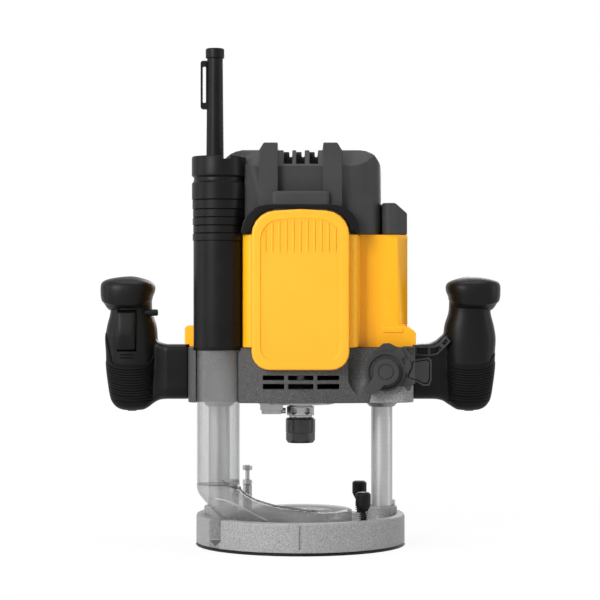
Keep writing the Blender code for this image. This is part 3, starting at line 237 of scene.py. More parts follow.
# Dark and light tone, scale along each axis, low and high roughness
METALS = {
    "steel": (0.39, 0.43, (60.0, 60.0, 2600.0), 0.34, 0.4),
    "spring_steel": (0.4, 0.55, (400.0, 400.0, 400.0), 0.3, 0.4),
    "lock_grey": (0.34, 0.46, (700.0, 700.0, 700.0), 0.35, 0.5),
    "bush_grey": (0.2, 0.27, (60.0, 60.0, 2600.0), 0.4, 0.5),
    # Darker grey laid on the faces inside the base's rod channel is painted shade in that recess
    "channel_painted_shade": (0.2, 0.27, (500.0, 500.0, 500.0), 0.5, 0.6),
    "motor_iron": (0.12, 0.2, (30.0, 30.0, 900.0), 0.3, 0.4),
    "motor_brass": ((0.5, 0.28, 0.12), (0.65, 0.4, 0.2), (300.0, 300.0, 300.0), 0.3, 0.4),
}
# Grey, clear share and density
CLEARS = {
    "clear_plastic": (0.58, 0.84, 120.0),
    "clear_shroud": (0.55, 0.74, 110.0),
    # Less clear grey of the rib stands in for the bright and dark lines that light makes along a clear rib:
    # painted highlight and shade
    "rib_painted_light": (0.5, 0.3, 200.0),
    # Dark grey of the rail is a painted dark line along the elbow's upper edge, standing in for shade and
    # refraction in clear plastic
    "rail_painted_dark_line": (0.16, 0.34, 260.0),
}
FINISHES = {
    "yellow": yellow_plastic("yellow_plastic", deep=(0.955, 0.428, 0.0085), pale=(0.985, 0.462, 0.0115)),
    "panel_yellow": yellow_plastic("panel_yellow", deep=(0.95, 0.425, 0.021), pale=(0.98, 0.455, 0.027)),
    "casing_grey": speckled_casing("speckled_casing", share=0.82),
    # Lighter copy of the casing's finish: painted light on the boss below the plunge lock, which the lamps
    # leave in shade
    "casing_painted_light": speckled_casing("casing_painted_light", share=3.2),
    "cast_base": grainy_cast(),
}
FINISHES |= {name: black_plastic(name, *values) for name, values in BLACKS.items()}
FINISHES |= {name: turned_steel(name, *values) for name, values in METALS.items()}
FINISHES |= {name: clear_plastic(name, *values) for name, values in CLEARS.items()}
# Finishes of nodes that don't have the finish of their slot
NODE_FINISHES = {
    "front_panel": "panel_yellow", "motor_cap": "cap_black", "left_column_cap": "cap_black",
    "right_column_cap": "cap_black", "lock_lever": "cap_black", "lock_cover": "cap_black",
    "collet_nut": "nut_black", "left_bush": "bush_grey", "right_bush": "bush_grey",
    "front_clamp_spring": "black_steel", "rear_clamp_spring": "black_steel",
}
SLOTS = {entry["node"]: entry["material_slot"] for entry in frame["record"]["subparts"]}
BODIES = {node: name for name, nodes in frame["record"]["behaviour"]["bodies"].items() for node in nodes}


def finish_of(node):
    return NODE_FINISHES.get(node, SLOTS[node])


# Pieces

def add_piece(name, mesh, body, slot, *nodes, finish=None):
    """A visible piece that rides on a body, and stands for CAD nodes where some are given."""
    mesh.shade_smooth()
    mesh.set_sharp_from_angle(angle=SMOOTH_BELOW)
    mesh.materials.append(FINISHES[finish or slot])
    made = bpy.data.objects.new(name, mesh)
    bpy.context.collection.objects.link(made)
    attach(made, body)
    if nodes:
        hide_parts(*nodes)
    return made


def with_room(sharp, width):
    """The sharp edges at whose ends a bevel of this width has room."""
    wanted = set(sharp)
    tight = set()
    for vert in {v for edge in sharp for v in edge.verts}:
        corner = sum(edge in wanted for edge in vert.link_edges) > 2
        for edge in vert.link_edges:
            if (corner or edge not in wanted) and edge.calc_length() < ROOM_AT_END * width:
                tight.add(vert)
    return [edge for edge in sharp if tight.isdisjoint(edge.verts)]


def round_edges(bm, width):
    """Rounds sharp edges, and more narrowly those that had no room at first."""
    passes = ((width, ROUND_ABOVE, 3), (NARROW * width, STILL_SHARP_ABOVE, 2))
    for reach, above, segments in passes:
        sharp = [edge for edge in bm.edges if edge.calc_face_angle(0) > above]
        edges = with_room(sharp, reach * MM)
        bmesh.ops.bevel(bm, geom=edges, offset=reach * MM, segments=segments, profile=0.5, affect="EDGES")


def welded(node):
    """The node's mesh with its split points joined."""
    bm = bmesh.new()
    bm.from_mesh(frame["nodes"][node].data)
    bmesh.ops.remove_doubles(bm, verts=bm.verts, dist=WELD_WITHIN * MM)
    return bm


def turned_again(node):
    """A turned node with more sides, from the profile at one of its corners."""
    bm = welded(node)
    low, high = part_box(node)
    middle = (low + high) / 2

    def polar(vert):
        offset = vert.co - middle
        return math.hypot(offset.x, offset.y), math.atan2(offset.y, offset.x)

    turn = polar(max(bm.verts, key=lambda vert: polar(vert)[0]))[1]
    corner = set()
    for vert in bm.verts:
        if abs(math.remainder(polar(vert)[1] - turn, math.tau)) < SAME_TURN:
            corner.add(vert)
    beside = {}
    for vert in corner:
        others = [edge.other_vert(vert) for edge in vert.link_edges]
        beside[vert] = [other for other in others if other in corner]
    vert = min(corner, key=lambda v: (len(beside[v]), v.co.z, polar(v)[0]))
    ring = len(beside[vert]) > 1
    chain = []
    while vert is not None:
        chain.append((polar(vert)[0] / MM, vert.co.z / MM))
        corner.discard(vert)
        vert = next((other for other in beside[vert] if other in corner), None)
    bm.free()
    return lathe(chain, (middle.x / MM, middle.y / MM), TURNED_SIDES, ring)


def even_shading(made):
    made.modifiers.new("even_shading", "WEIGHTED_NORMAL").keep_sharp = True


def refine(node, width):
    """Stands a copy with rounded edges in for a node."""
    name = f"{node}_shell"
    bm = turned_again(node) if node in TURNED else welded(node)
    if node in TRIMS:
        mesh = carved([bm], name, TRIMS[node]())
        bm = bmesh.new()
        bm.from_mesh(mesh)
    bmesh.ops.dissolve_limit(bm, angle_limit=FLAT_WITHIN, verts=bm.verts, edges=bm.edges)
    round_edges(bm, width)
    mesh = as_mesh(bm, name)
    made = add_piece(name, mesh, BODIES[node], SLOTS[node], node, finish=finish_of(node))
    even_shading(made)
    if node in PLUNGE_SPRINGS:
        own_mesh(made)
    if node in ACCENTS:
        belongs, finish = ACCENTS[node]
        mesh.materials.append(FINISHES[finish])
        for face in mesh.polygons:
            if belongs([mesh.vertices[i].co / MM for i in face.vertices]):
                face.material_index = 1


# Cuts and accents of single nodes, in millimetres

# Plan and ends of what the slanted corner of the right tower leaves out
TOWER_CORNER = [(73.6, -40.0), (86.0, -27.6), (95, -27.6), (95, -48), (73.6, -48)]
TOWER_CORNER_ENDS = (176, 300)
# Ends along X, Y and Z of the boxes where the housing's lip is left off at the right tower
HOUSING_LIP = [(84.05, 95, -50, 50, 238, 250), (46.6, 95, -50, -38.02, 238, 250)]
# Middle and half sizes of the casing's flute in plan, then its heights with their share of those sizes
FLUTE_MIDDLE = (45.4, -53.0)
FLUTE_HALF = (8.6, 7.6)
FLUTE = [(120.5, 0.12), (124, 0.5), (128, 0.8), (134, 1.0), (170, 1.0)]
BORE_ROOM = 0.25
# Front of the motor cap's arch, then middle, half width and inner end of the base's rod channel
ARCH_FRONT = -58.9
CHANNEL_Y = -48.8
CHANNEL_HALF = 6.9
CHANNEL_END = -45


def tower_corner():
    """What the slanted corner of the right tower leaves out, above its foot."""
    return skin([[(x, y, z) for x, y in TOWER_CORNER] for z in TOWER_CORNER_ENDS])


def casing_flute():
    """What the hollow between the panel and the plunge lock leaves out of the casing."""
    rows = []
    for z, size in FLUTE:
        row = []
        for angle in around(FLUTE_SIDES):
            x = FLUTE_MIDDLE[0] + FLUTE_HALF[0] * size * math.cos(angle)
            y = FLUTE_MIDDLE[1] + FLUTE_HALF[1] * size * math.sin(angle)
            row.append((x, y, z))
        rows.append(row)
    return skin(rows)


def round_hole(node, axis, ahead):
    """Round room for a node that lies along an axis, with more room ahead of its lower end."""
    low, high = [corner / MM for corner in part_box(node)]
    middle = (low + high) / 2
    radius = (high.z - low.z) / 2 + BORE_ROOM
    rows = []
    for along in (low[axis] - ahead, high[axis] + BORE_ROOM):
        row = []
        for angle in around(HOLE_SIDES):
            across = radius * math.cos(angle)
            point = [middle.x + across, middle.y + across, middle.z + radius * math.sin(angle)]
            point[axis] = along
            row.append(point)
        rows.append(row)
    return skin(rows)


def in_arch(points):
    """At the front of the motor cap, which is an arch."""
    return min(point.y for point in points) < ARCH_FRONT


def in_channel(points):
    """Inside the rod channel that shows at the front left of the base, whose faces get painted shade."""
    return all(abs(point.y - CHANNEL_Y) < CHANNEL_HALF and point.x < CHANNEL_END for point in points)


ROUNDING = {
    "base_casting": 0.6, "casing": 0.6, "motor_housing": 1.0, "motor_cap": 0.9, "left_column_cap": 1.2,
    "right_column_cap": 1.0, "lock_cover": 0.25, "lock_lever": 0.7,
}
TURNED = {"dust_tube", "dust_sleeve", "left_column", "right_column", "left_bush", "right_bush", "depth_rod"}
PLUNGE_SPRINGS = {"left_plunge_spring", "right_plunge_spring"}
TRIMS = {
    "motor_housing": lambda: [tower_corner(), *[block(*ends) for ends in HOUSING_LIP]],
    "right_column_cap": lambda: [tower_corner()],
    "casing": lambda: [casing_flute()],
    "right_bush": lambda: [round_hole("lock_bolt", 1, BORE_ROOM)],
}
# The arch keeps the cap's own gloss black; the rod channel gets painted shade
ACCENTS = {"motor_cap": (in_arch, "gloss_black"), "base_casting": (in_channel, "channel_painted_shade")}
REMODELLED = {f"{side}_{part}" for side in ("left", "right") for part in ("handle", "pommel", "grip_sleeve")}
REMODELLED |= {"trigger", "dust_shroud", "hose_adaptor"}


def dress_nodes():
    """Gives every node its finish, and a copy with rounded edges where it isn't modelled again."""
    for name, node in frame["nodes"].items():
        node.data.materials.clear()
        node.data.materials.append(FINISHES[finish_of(name)])
    for name in frame["nodes"]:
        if name not in REMODELLED:
            refine(name, ROUNDING.get(name, PLAIN_ROUNDING))


# Mesh tools, in millimetres

# Share of a bar's radius at its ends
BAR_END = 0.35


def around(count, shift=0.0):
    """Angles of equal steps round a full turn."""
    return [math.tau * (k + shift) / count for k in range(count)]


def skin(rows, ring=False):
    """Mesh skinned over loops of points with the same count, with its ends capped or joined to a ring."""
    bm = bmesh.new()
    loops = [[bm.verts.new(Vector(point) * MM) for point in row] for row in rows]
    count = len(loops[0])
    pairs = list(zip(loops, loops[1:]))
    if ring:
        pairs.append((loops[-1], loops[0]))
    else:
        bm.faces.new(reversed(loops[0]))
        bm.faces.new(loops[-1])
    for low, high in pairs:
        for i in range(count):
            j = (i + 1) % count
            bm.faces.new((low[i], low[j], high[j], high[i]))
    bmesh.ops.recalc_face_normals(bm, faces=bm.faces)
    return bm


def lathe(profile, centre, sides, ring=True):
    """Profile of (radius, height) turned about an upright axis."""
    turns = around(sides)
    rows = []
    for radius, z in profile:
        rows.append([(centre[0] + radius * math.cos(a), centre[1] + radius * math.sin(a), z) for a in turns])
    return skin(rows, ring)


def as_mesh(bm, name):
    mesh = bpy.data.meshes.new(name)
    bm.to_mesh(mesh)
    bm.free()
    return mesh


def carved(shapes, name, cutters, voxel=None, smoothing=0):
    """Closed shapes, melted into one with soft fillets where a voxel size is given, less the cutters."""
    whole = bmesh.new()
    for shape in shapes:
        part = as_mesh(shape, "part")
        whole.from_mesh(part)
        bpy.data.meshes.remove(part)
    holder = bpy.data.objects.new(name, as_mesh(whole, name))
    bpy.context.collection.objects.link(holder)
    if voxel:
        remesh = holder.modifiers.new("melt", "REMESH")
        remesh.mode = "VOXEL"
        remesh.voxel_size = voxel * MM
        smooth = holder.modifiers.new("soften", "SMOOTH")
        smooth.factor = 0.5
        smooth.iterations = smoothing
    tools = []
    for shape in cutters:
        tool = bpy.data.objects.new("cutter", as_mesh(shape, "cutter"))
        bpy.context.collection.objects.link(tool)
        carve = holder.modifiers.new("carve", "BOOLEAN")
        carve.object = tool
        carve.solver = "EXACT"
        tools.append(tool)
    bpy.context.view_layer.update()
    done = bpy.data.meshes.new_from_object(holder.evaluated_get(bpy.context.evaluated_depsgraph_get()))
    for spare in [holder, *tools]:
        bpy.data.objects.remove(spare)
    return done


def between(rows, height):
    """Smooth values of a table of rows (height, value, ...) at one height."""
    height = min(max(height, rows[0][0]), rows[-1][0])
    last = len(rows) - 1
    i = 0
    while i < last - 1 and height > rows[i + 1][0]:
        i += 1
    low, high = rows[i], rows[i + 1]
    before = rows[max(i - 1, 0)]
    after = rows[min(i + 2, last)]
    step = high[0] - low[0]
    t = (height - low[0]) / step
    values = []
    for k in range(1, len(low)):
        start = (high[k] - before[k]) / (high[0] - before[0]) * step
        end = (after[k] - low[k]) / (after[0] - low[0]) * step
        values.append(low[k] * (2 * t ** 3 - 3 * t ** 2 + 1) + start * (t ** 3 - 2 * t ** 2 + t)
                      + high[k] * (3 * t ** 2 - 2 * t ** 3) + end * (t ** 3 - t ** 2))
    return values


def eased(low, high, value):
    """0 below low, 1 above high, and a smooth step between."""
    t = min(max((value - low) / (high - low), 0.0), 1.0)
    return t * t * (3 - 2 * t)


def levels(low, high, step):
    count = max(2, round((high - low) / step))
    return [low + (high - low) * i / count for i in range(count + 1)]


def block(x0, x1, y0, y1, z0, z1):
    return skin([[(x0, y0, z), (x1, y0, z), (x1, y1, z), (x0, y1, z)] for z in (z0, z1)])


def plate(outline, front, back):
    """Prism over an outline in the XZ plane."""
    return skin([[(x, y, z) for x, z in outline] for y in (front, back)])


def squared(value, power):
    return math.copysign(abs(value) ** power, value)


def sweep(points, radius):
    """Round bar along points, with rounded ends."""
    rows = []
    spots = [Vector(point) for point in points]
    for i, spot in enumerate(spots):
        along = (spots[min(i + 1, len(spots) - 1)] - spots[max(i - 1, 0)]).normalized()
        across = along.cross(Vector((0, 1, 0))).normalized()
        out = along.cross(across)
        thick = radius * (BAR_END if i in (0, len(spots) - 1) else 1.0)
        turns = around(BAR_SIDES)
        rows.append([spot + across * thick * math.cos(a) + out * thick * math.sin(a) for a in turns])
    return skin(rows)


# Handles

HANDLE_X = 135.6
# Height, inner reach, outer reach and half depth of a grip
GRIP = [
    (106.9, -4, 2, 3), (107.4, -9, 6, 7), (108.8, -12.4, 9.6, 11), (111, -15.6, 12.4, 14),
    (116, -19.5, 15.5, 16.5), (129, -20.6, 17.9, 18), (142, -21.3, 19.4, 18.8), (153.5, -21.6, 19.8, 19),
    (164.6, -21.4, 20.4, 19), (175, -20.4, 18.8, 18), (185.4, -17.2, 16.3, 16.5), (197, -16.6, 16.6, 16.4),
]
# The same of a pommel
POMMEL = [
    (187.9, -14.6, 14.8, 14.6), (188.1, -15.8, 16.4, 16.2), (189, -16.2, 19.2, 18.0),
    (190.5, -16.6, 22.2, 20.2), (190.9, -16.8, 22.8, 20.7), (191.6, -17.0, 23.2, 21.0),
    (196, -17.6, 23.9, 21.5), (201.6, -19.0, 24.1, 21.8), (205.3, -19.4, 24.1, 21.4),
    (208.4, -18.2, 23.3, 20.0), (210.4, -15.0, 21.2, 17.6), (212.2, -10.0, 15.9, 13.5),
    (213.5, -4.8, 7.6, 7.5), (214, -1.0, 1.6, 2.0),
]
# Lower end, upper end and step of the pommel's loops, which are closest at its rim
POMMEL_STEPS = [(187.9, 190.4, 0.3), (190.5, 191.2, 0.1), (191.5, 212.2, 0.7), (212.5, 214, 0.25)]
# Height of the pommel's rim, and height above which its loops are level again
POMMEL_RIM = 190.7
POMMEL_LEVEL = 203
# Rise of the pommel's rim at the outer and the inner side
RIM_RISES = (3.0, 4.0)
# Drop of the pommel's lower end at the outer side
POMMEL_HEEL = 1.5
SQUARENESS = 0.78
LOOP_POINTS = 64
# Step of a grip's loops, and voxel size and rounds of smoothing that melt it with its arm
GRIP_STEP = 1.2
SHELL_VOXEL = 0.8
SHELL_SMOOTHING = 20
# How much thinner a grip is under its rubber, and the heights between which it comes out to full size
UNDER_RUBBER = 1.0
UNDER_RUBBER_ENDS = (139.5, 143.0)

# Lower and upper edge of an arm, radius of each, its gap from the casing and its half depth there
ARM_LOW = 116.2
ARM_HIGH = 159.6
ARM_LOW_RADIUS = 8
ARM_HIGH_RADIUS = 4
ARM_GAP = 0.3
ARM_ROOT_HALF = 16
# Distance from the middle, rise of the top edge, drop of the lower edge and half depth along each arm
ARMS = {
    "left": [
        (107, 0, 0, 16), (112, 1.2, 0.6, 13.6), (116, 4, 2.6, 11.4), (120, 7, 5.6, 10.4), (125, 10, 7.6, 10),
    ],
    "right": [
        (104, 0.8, 0, 16), (108.6, 2.8, 0.2, 14.8), (113.5, 7.2, 1.4, 12.4), (118, 12, 4.6, 10.8),
        (123, 16, 7.2, 10.2),
    ],
}

# Rubber sleeve: where it and its ribs start and end, its thickness, groove depth and rises at the sides
RUBBER_LOW = 106.5
RIB_LOW = 113.2
RIB_HIGH = 140.4
RIB_COUNT = 13
RUBBER_BORDER = 142.2
RUBBER_PROUD = 0.5
BORDER_PROUD = 1.0
GROOVE_DEPTH = 0.7
SMILE = 5.0
# Rise of the border at the outer and the inner side
BORDER_RISES = {"left": (21.0, 7.0), "right": (5.0, 7.0)}
# Step of the rubber's loops, steps of its border, and width of a groove as a share of the pitch
RUBBER_STEP = 0.22
BORDER_STEPS = 14
GROOVE_WIDTH = 0.15
# Start of the ribs' smile above the lower end, and where it is full above the first rib
SMILE_START = 2
SMILE_FULL = 8
# Cosines between which the grooves fade, the border climbs and its edge sinks in, and share of that sinking
GROOVE_FADE = (0.8, 1.0)
BORDER_CLIMB = (0.6, 0.96)
EDGE_SINK = (0.84, 1.0)
EDGE_SINK_SHARE = 0.8
# Shares of the way to the border between which the rubber swells, then rise and thickness of its upper edge
BORDER_SWELL = (0.7, 0.95)
BORDER_EDGE = [(0.5, 1.0), (0.75, 0.75), (0.9, -0.9)]

# Share of the height, half width and front of the trigger
TRIGGER = [
    (0.0, 6.4, -18.2), (0.03, 7.2, -19.6), (0.08, 7.5, -20.5), (0.35, 7.6, -22.2), (0.55, 7.6, -21.9),
    (0.75, 7.7, -20.6), (0.92, 7.7, -19.0), (0.97, 7.6, -18.3), (1.0, 7.0, -16.8),
]
TRIGGER_BACK = -11.0
TRIGGER_STEP = 0.5
# Squareness of the trigger's sections across and in depth
TRIGGER_SQUARENESS = (0.32, 0.5)
BUTTON_TRAVEL = 3.0
# Front of the cuts round the trigger, back of its seat, and room below and above it
HANDLE_CUT = -30
SEAT_BACK = -5.5
SEAT_BELOW = 0.8
SEAT_ABOVE = 1.4
# Front and back of the narrower well behind the seat, and its gap from the trigger's sides and ends
WELL_FRONT = -7
WELL_BACK = 9.4
WELL_SIDES = 2
WELL_ENDS = 3
# Heights, width and floor of two slots below the trigger, and their gap from its left and right side
SLOT_LOWS = (148.5, 151.0)
SLOT_WIDTH = 1.3
SLOT_FLOOR = -17.0
SLOT_LEFT = 2.4
SLOT_RIGHT = 2

# Raised strip with its cells, and pad with its rim, on the right arm, as points in the XZ plane
STRIP = [
    (88.9, 157.9), (102, 158.1), (106.6, 158.8), (110.6, 161.6), (114.8, 166.3), (119.2, 162.4),
    (113.1, 156.2), (108.5, 151.8), (102, 150.4), (88.9, 151.3),
]
CELLS = [
    [(91.9, 152.3), (100.6, 152.0), (100.6, 156.9), (91.9, 156.8)],
    [
        (102.8, 152), (106.7, 152.7), (109.4, 154), (112.3, 157), (110.0, 158.7), (106.7, 157.3),
        (102.8, 156.7),
    ],
    [(113.9, 158.8), (117.3, 162.3), (114.9, 164.4), (112.2, 160.6)],
]
PAD_RIM = [
    (88.9, 147.8), (100.9, 149.6), (102.6, 148.9), (103.8, 147), (103.9, 131.6), (102, 127.2), (97, 126.9),
    (92.6, 129.6), (88.9, 130.6),
]
PAD = [
    (87, 132.6), (89.2, 132.2), (93.2, 131), (97.4, 128.6), (101, 128.6), (102.5, 132), (102.5, 146.4),
    (100.7, 148.2), (89.2, 146.4), (87, 146.2),
]
# Middle of the pad, and its size as a share of the opening in its rim
PAD_MIDDLE = (95.0, 138.5)
PAD_SHARE = 0.9
# Black flange that carries the strip and the pad on over the front of the casing
FLANGE = [
    (76, 157.6), (81, 158.9), (88.9, 158.9), (88.9, 130.2), (86, 128.6), (82, 127.9), (77, 128.4), (74, 132),
]
FLANGE_POCKETS = [
    [(82.2, 157.4), (87.9, 157.4), (87.9, 152.7), (85.8, 152.7)],
    [
        (82.9, 135.2), (87.0, 147.6), (90, 147.9), (90, 147.0), (87.7, 146.8), (83.9, 135.4), (90, 133.2),
        (90, 132.2),
    ],
]
# Back, front and floor of the pockets of each plate, and how far the cuts start in front of it
STRIP_DEPTHS = (-9, -17.6, -14.4)
RIM_DEPTHS = (-11, -16.8, -12)
PAD_DEPTHS = (-11, -16.9, -12)
FLANGE_DEPTHS = (-34, -51.4, -49.8)
POCKET_AHEAD = 2
# Height, left end and front of the casing's boss below the plunge lock, at its foot and its top
BOSS = [(115.3, 53.5, -53.0), (128.5, 57.0, -48.6)]
# X of the boss where its front bends and at its side, with the way back from its front, then its two backs
BOSS_BEND = (79.8, 3.4)
BOSS_SIDE = (88.3, 13)
BOSS_BACK_RIGHT = -30
BOSS_BACK_LEFT = -38
BOSS_ROUNDING = 0.8


def grip_loop(side, rows, height, grow=0.0, lift=None):
    """Rounded-square loop of a handle; grow and lift may depend on each point's cosine."""
    loop = []
    for angle in around(LOOP_POINTS, shift=0.5):
        c = math.cos(angle)
        z = height + (lift(c) if lift else 0.0)
        more = grow(c) if callable(grow) else grow
        inner, outer, depth = between(rows, z)
        x = (inner + outer) / 2 + ((outer - inner) / 2 + more) * squared(c, SQUARENESS)
        y = (depth + more) * squared(math.sin(angle), SQUARENESS)
        loop.append((side * (HANDLE_X + x), y, z))
    return loop


def rounded_loop(half, low, high, low_radius, high_radius, steps=5):
    """Rounded rectangle in the YZ plane."""
    loop = []
    for sign, edge, radius, start in ((1, high, high_radius, 0), (-1, high, high_radius, 90),
                                      (-1, low, low_radius, 180), (1, low, low_radius, 270)):
        cy = sign * (half - radius)
        cz = edge - radius if edge == high else edge + radius
        for k in range(steps + 1):
            angle = math.radians(start + 90 * k / steps)
            loop.append((cy + radius * math.cos(angle), cz + radius * math.sin(angle)))
    return loop


def trigger_cuts():
    """What the trigger, the lock button and two slots below the trigger leave out of the left handle."""
    low, high = [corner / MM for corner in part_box("trigger")]
    left = low.x + WELL_SIDES
    right = high.x - WELL_SIDES
    cuts = [
        block(low.x, high.x, HANDLE_CUT, SEAT_BACK, low.z - SEAT_BELOW, high.z + SEAT_ABOVE),
        block(left, right, WELL_FRONT, WELL_BACK, low.z + WELL_ENDS, high.z - WELL_ENDS),
        round_hole("lock_button", 0, BUTTON_TRAVEL + BORE_ROOM),
    ]
    for z in SLOT_LOWS:
        cuts.append(block(low.x + SLOT_LEFT, high.x - SLOT_RIGHT, HANDLE_CUT, SLOT_FLOOR, z, z + SLOT_WIDTH))
    return cuts


def build_shell(side, name):
    """Grip and arm as one moulding, thinner under the rubber."""
    grip = []
    for z in levels(GRIP[0][0], GRIP[-1][0], GRIP_STEP):
        thin = -UNDER_RUBBER * (1 - eased(*UNDER_RUBBER_ENDS, z))
        grip.append(grip_loop(side, GRIP, z, thin))
    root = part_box("casing")[1].x / MM + ARM_GAP
    arm = []
    for x, rise, drop, half in ((root, 0, 0, ARM_ROOT_HALF), *ARMS[name]):
        outline = rounded_loop(half, ARM_LOW - drop, ARM_HIGH + rise, ARM_LOW_RADIUS, ARM_HIGH_RADIUS)
        arm.append([(side * x, y, z) for y, z in outline])
    cuts = trigger_cuts() if side < 0 else []
    mesh = carved([skin(grip), skin(arm)], f"{name}_handle_shell", cuts, SHELL_VOXEL, SHELL_SMOOTHING)
    add_piece(f"{name}_handle_shell", mesh, "carriage", "black_plastic", f"{name}_handle")


def build_pommel(side, name):
    """Pommel with a slanted underside, whose rim droops at the front and the back."""
    rows = []
    low = POMMEL[0][0]
    heights = [z for ends in POMMEL_STEPS for z in levels(*ends)]
    for z in heights:
        up = eased(low, POMMEL_RIM, z)
        share = up * (1 - eased(POMMEL_RIM, POMMEL_LEVEL, z))
        drooped = []
        for angle, (x, y, height) in zip(around(LOOP_POINTS, shift=0.5), grip_loop(side, POMMEL, z)):
            c = math.cos(angle)
            if c > 0:
                lift = RIM_RISES[0] * share - POMMEL_HEEL * (1 - up)
            else:
                lift = RIM_RISES[1] * share
            drooped.append((x, y, height + lift * c * c))
        rows.append(drooped)
    mesh = as_mesh(skin(rows), f"{name}_pommel_shell")
    add_piece(f"{name}_pommel_shell", mesh, "carriage", "black_plastic", f"{name}_pommel")


def build_rubber(side, name):
    """Ribbed sleeve over the lower grip, with a border that climbs at the sides."""
    pitch = (RIB_HIGH - RIB_LOW) / RIB_COUNT
    rows = []
    outer_rise, inner_rise = BORDER_RISES[name]

    def border(c):
        rise = outer_rise if c > 0 else inner_rise
        return SMILE * c * c + rise * eased(*BORDER_CLIMB, abs(c))

    def tapered(proud):
        """A proud edge that sinks in at the sides."""
        return lambda c: proud - EDGE_SINK_SHARE * max(proud, 0) * eased(*EDGE_SINK, abs(c))

    for z in levels(RUBBER_LOW, RIB_HIGH, RUBBER_STEP):
        smile = SMILE * eased(RUBBER_LOW + SMILE_START, RIB_LOW + SMILE_FULL, z)
        phase = (z - RIB_LOW) / pitch % 1.0
        groove = GROOVE_DEPTH * math.exp(-((phase - 0.5) / GROOVE_WIDTH) ** 2) if z > RIB_LOW else 0.0
        rows.append(grip_loop(
            side, GRIP, z,
            grow=lambda c: RUBBER_PROUD - groove * (1 - eased(*GROOVE_FADE, abs(c))),
            lift=lambda c: smile * c * c,
        ))
    for step in range(1, BORDER_STEPS + 1):
        share = step / BORDER_STEPS
        z = RIB_HIGH + (RUBBER_BORDER - RIB_HIGH) * share
        proud = RUBBER_PROUD + (BORDER_PROUD - RUBBER_PROUD) * eased(*BORDER_SWELL, share)
        rows.append(grip_loop(
            side, GRIP, z, tapered(proud),
            lift=lambda c: SMILE * c * c * (1 - share) + border(c) * share,
        ))
    for rise, proud in BORDER_EDGE:
        rows.append(grip_loop(side, GRIP, RUBBER_BORDER + rise, tapered(proud), border))
    mesh = as_mesh(skin(rows), f"{name}_grip_rubber")
    add_piece(f"{name}_grip_rubber", mesh, "carriage", "grip_rubber", f"{name}_grip_sleeve")


def build_trigger():
    low, high = [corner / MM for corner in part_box("trigger")]
    middle = (low.x + high.x) / 2
    rows = []
    for z in levels(low.z, high.z, TRIGGER_STEP):
        half, front = between(TRIGGER, (z - low.z) / (high.z - low.z))
        centre = (front + TRIGGER_BACK) / 2
        depth = (TRIGGER_BACK - front) / 2
        loop = []
        for angle in around(LOOP_POINTS, shift=0.5):
            x = middle + half * squared(math.cos(angle), TRIGGER_SQUARENESS[0])
            y = centre + depth * squared(math.sin(angle), TRIGGER_SQUARENESS[1])
            loop.append((x, y, z))
        rows.append(loop)
    mesh = as_mesh(skin(rows), "trigger_shell")
    add_piece("trigger_shell", mesh, BODIES["trigger"], "black_plastic", "trigger")


def pocketed(name, outline, pockets, depths, finish):
    """Plate beside the plunge lock with pockets sunk to a floor."""
    back, front, floor = depths
    tools = [plate(pocket, front - POCKET_AHEAD, floor) for pocket in pockets]
    bm = bmesh.new()
    bm.from_mesh(carved([plate(outline, front, back)], name, tools))
    round_edges(bm, PLAIN_ROUNDING)
    even_shading(add_piece(name, as_mesh(bm, name), "carriage", "black_plastic", finish=finish))


def build_handles():
    """Both handles with what is on them, and the flange beside the lock."""
    for side, name in ((-1, "left"), (1, "right")):
        build_shell(side, name)
        build_pommel(side, name)
        build_rubber(side, name)
    build_trigger()
    middle = Vector(PAD_MIDDLE)
    pad = [middle + (Vector(point) - middle) * PAD_SHARE for point in PAD]
    pocketed("right_arm_strip", STRIP, CELLS, STRIP_DEPTHS, "cap_black")
    # The rim and the pad take the lighter black that is painted light
    pocketed("right_arm_rim", PAD_RIM, [PAD], RIM_DEPTHS, "pad_painted_light")
    pocketed("right_arm_pad", pad, [], PAD_DEPTHS, "pad_painted_light")
    pocketed("lock_flange", FLANGE, FLANGE_POCKETS, FLANGE_DEPTHS, "cap_black")


def build_casing_boss():
    """Boss of the casing below the plunge lock, whose front leans back."""
    bend, bend_back = BOSS_BEND
    right, right_back = BOSS_SIDE
    rows = []
    for z, left, front in BOSS:
        rows.append([
            (left, front, z), (bend, front + bend_back, z), (right, front + right_back, z),
            (right, BOSS_BACK_RIGHT, z), (left, BOSS_BACK_LEFT, z),
        ])
    bm = skin(rows)
    round_edges(bm, BOSS_ROUNDING)
    mesh = as_mesh(bm, "casing_boss")
    # The boss takes the lighter casing finish, which is painted light
    even_shading(add_piece("casing_boss", mesh, "carriage", "casing_grey", finish="casing_painted_light"))


# Clear shroud and small parts

SHROUD_WALL = 1.8
RING_RADIUS = 41.5
RING_HOLE = 26.0
RING_LOW = 18.3
RING_HIGH = 28.0
# Rounding of the ring's upper edge, the step at its middle, and how far the skirt ends above the ring's foot
RING_ROUND = 1.5
RING_ROUND_MIDDLE = 0.5
SKIRT_RISE = 4
# Windows of the skirt: middles, half width, sill, springing and rise of the arch, its angles, front and back
WINDOW_PLACES = (-13.0, 2.0, 17.0)
WINDOW_HALF = 5
WINDOW_SILL = 3
WINDOW_SPRING = 5
WINDOW_RISE = 2.4
WINDOW_TURNS = (0, 0.5, 1.0, 1.57, 2.1, 2.6, 3.14)
WINDOW_ENDS = (12.0, 28.6)
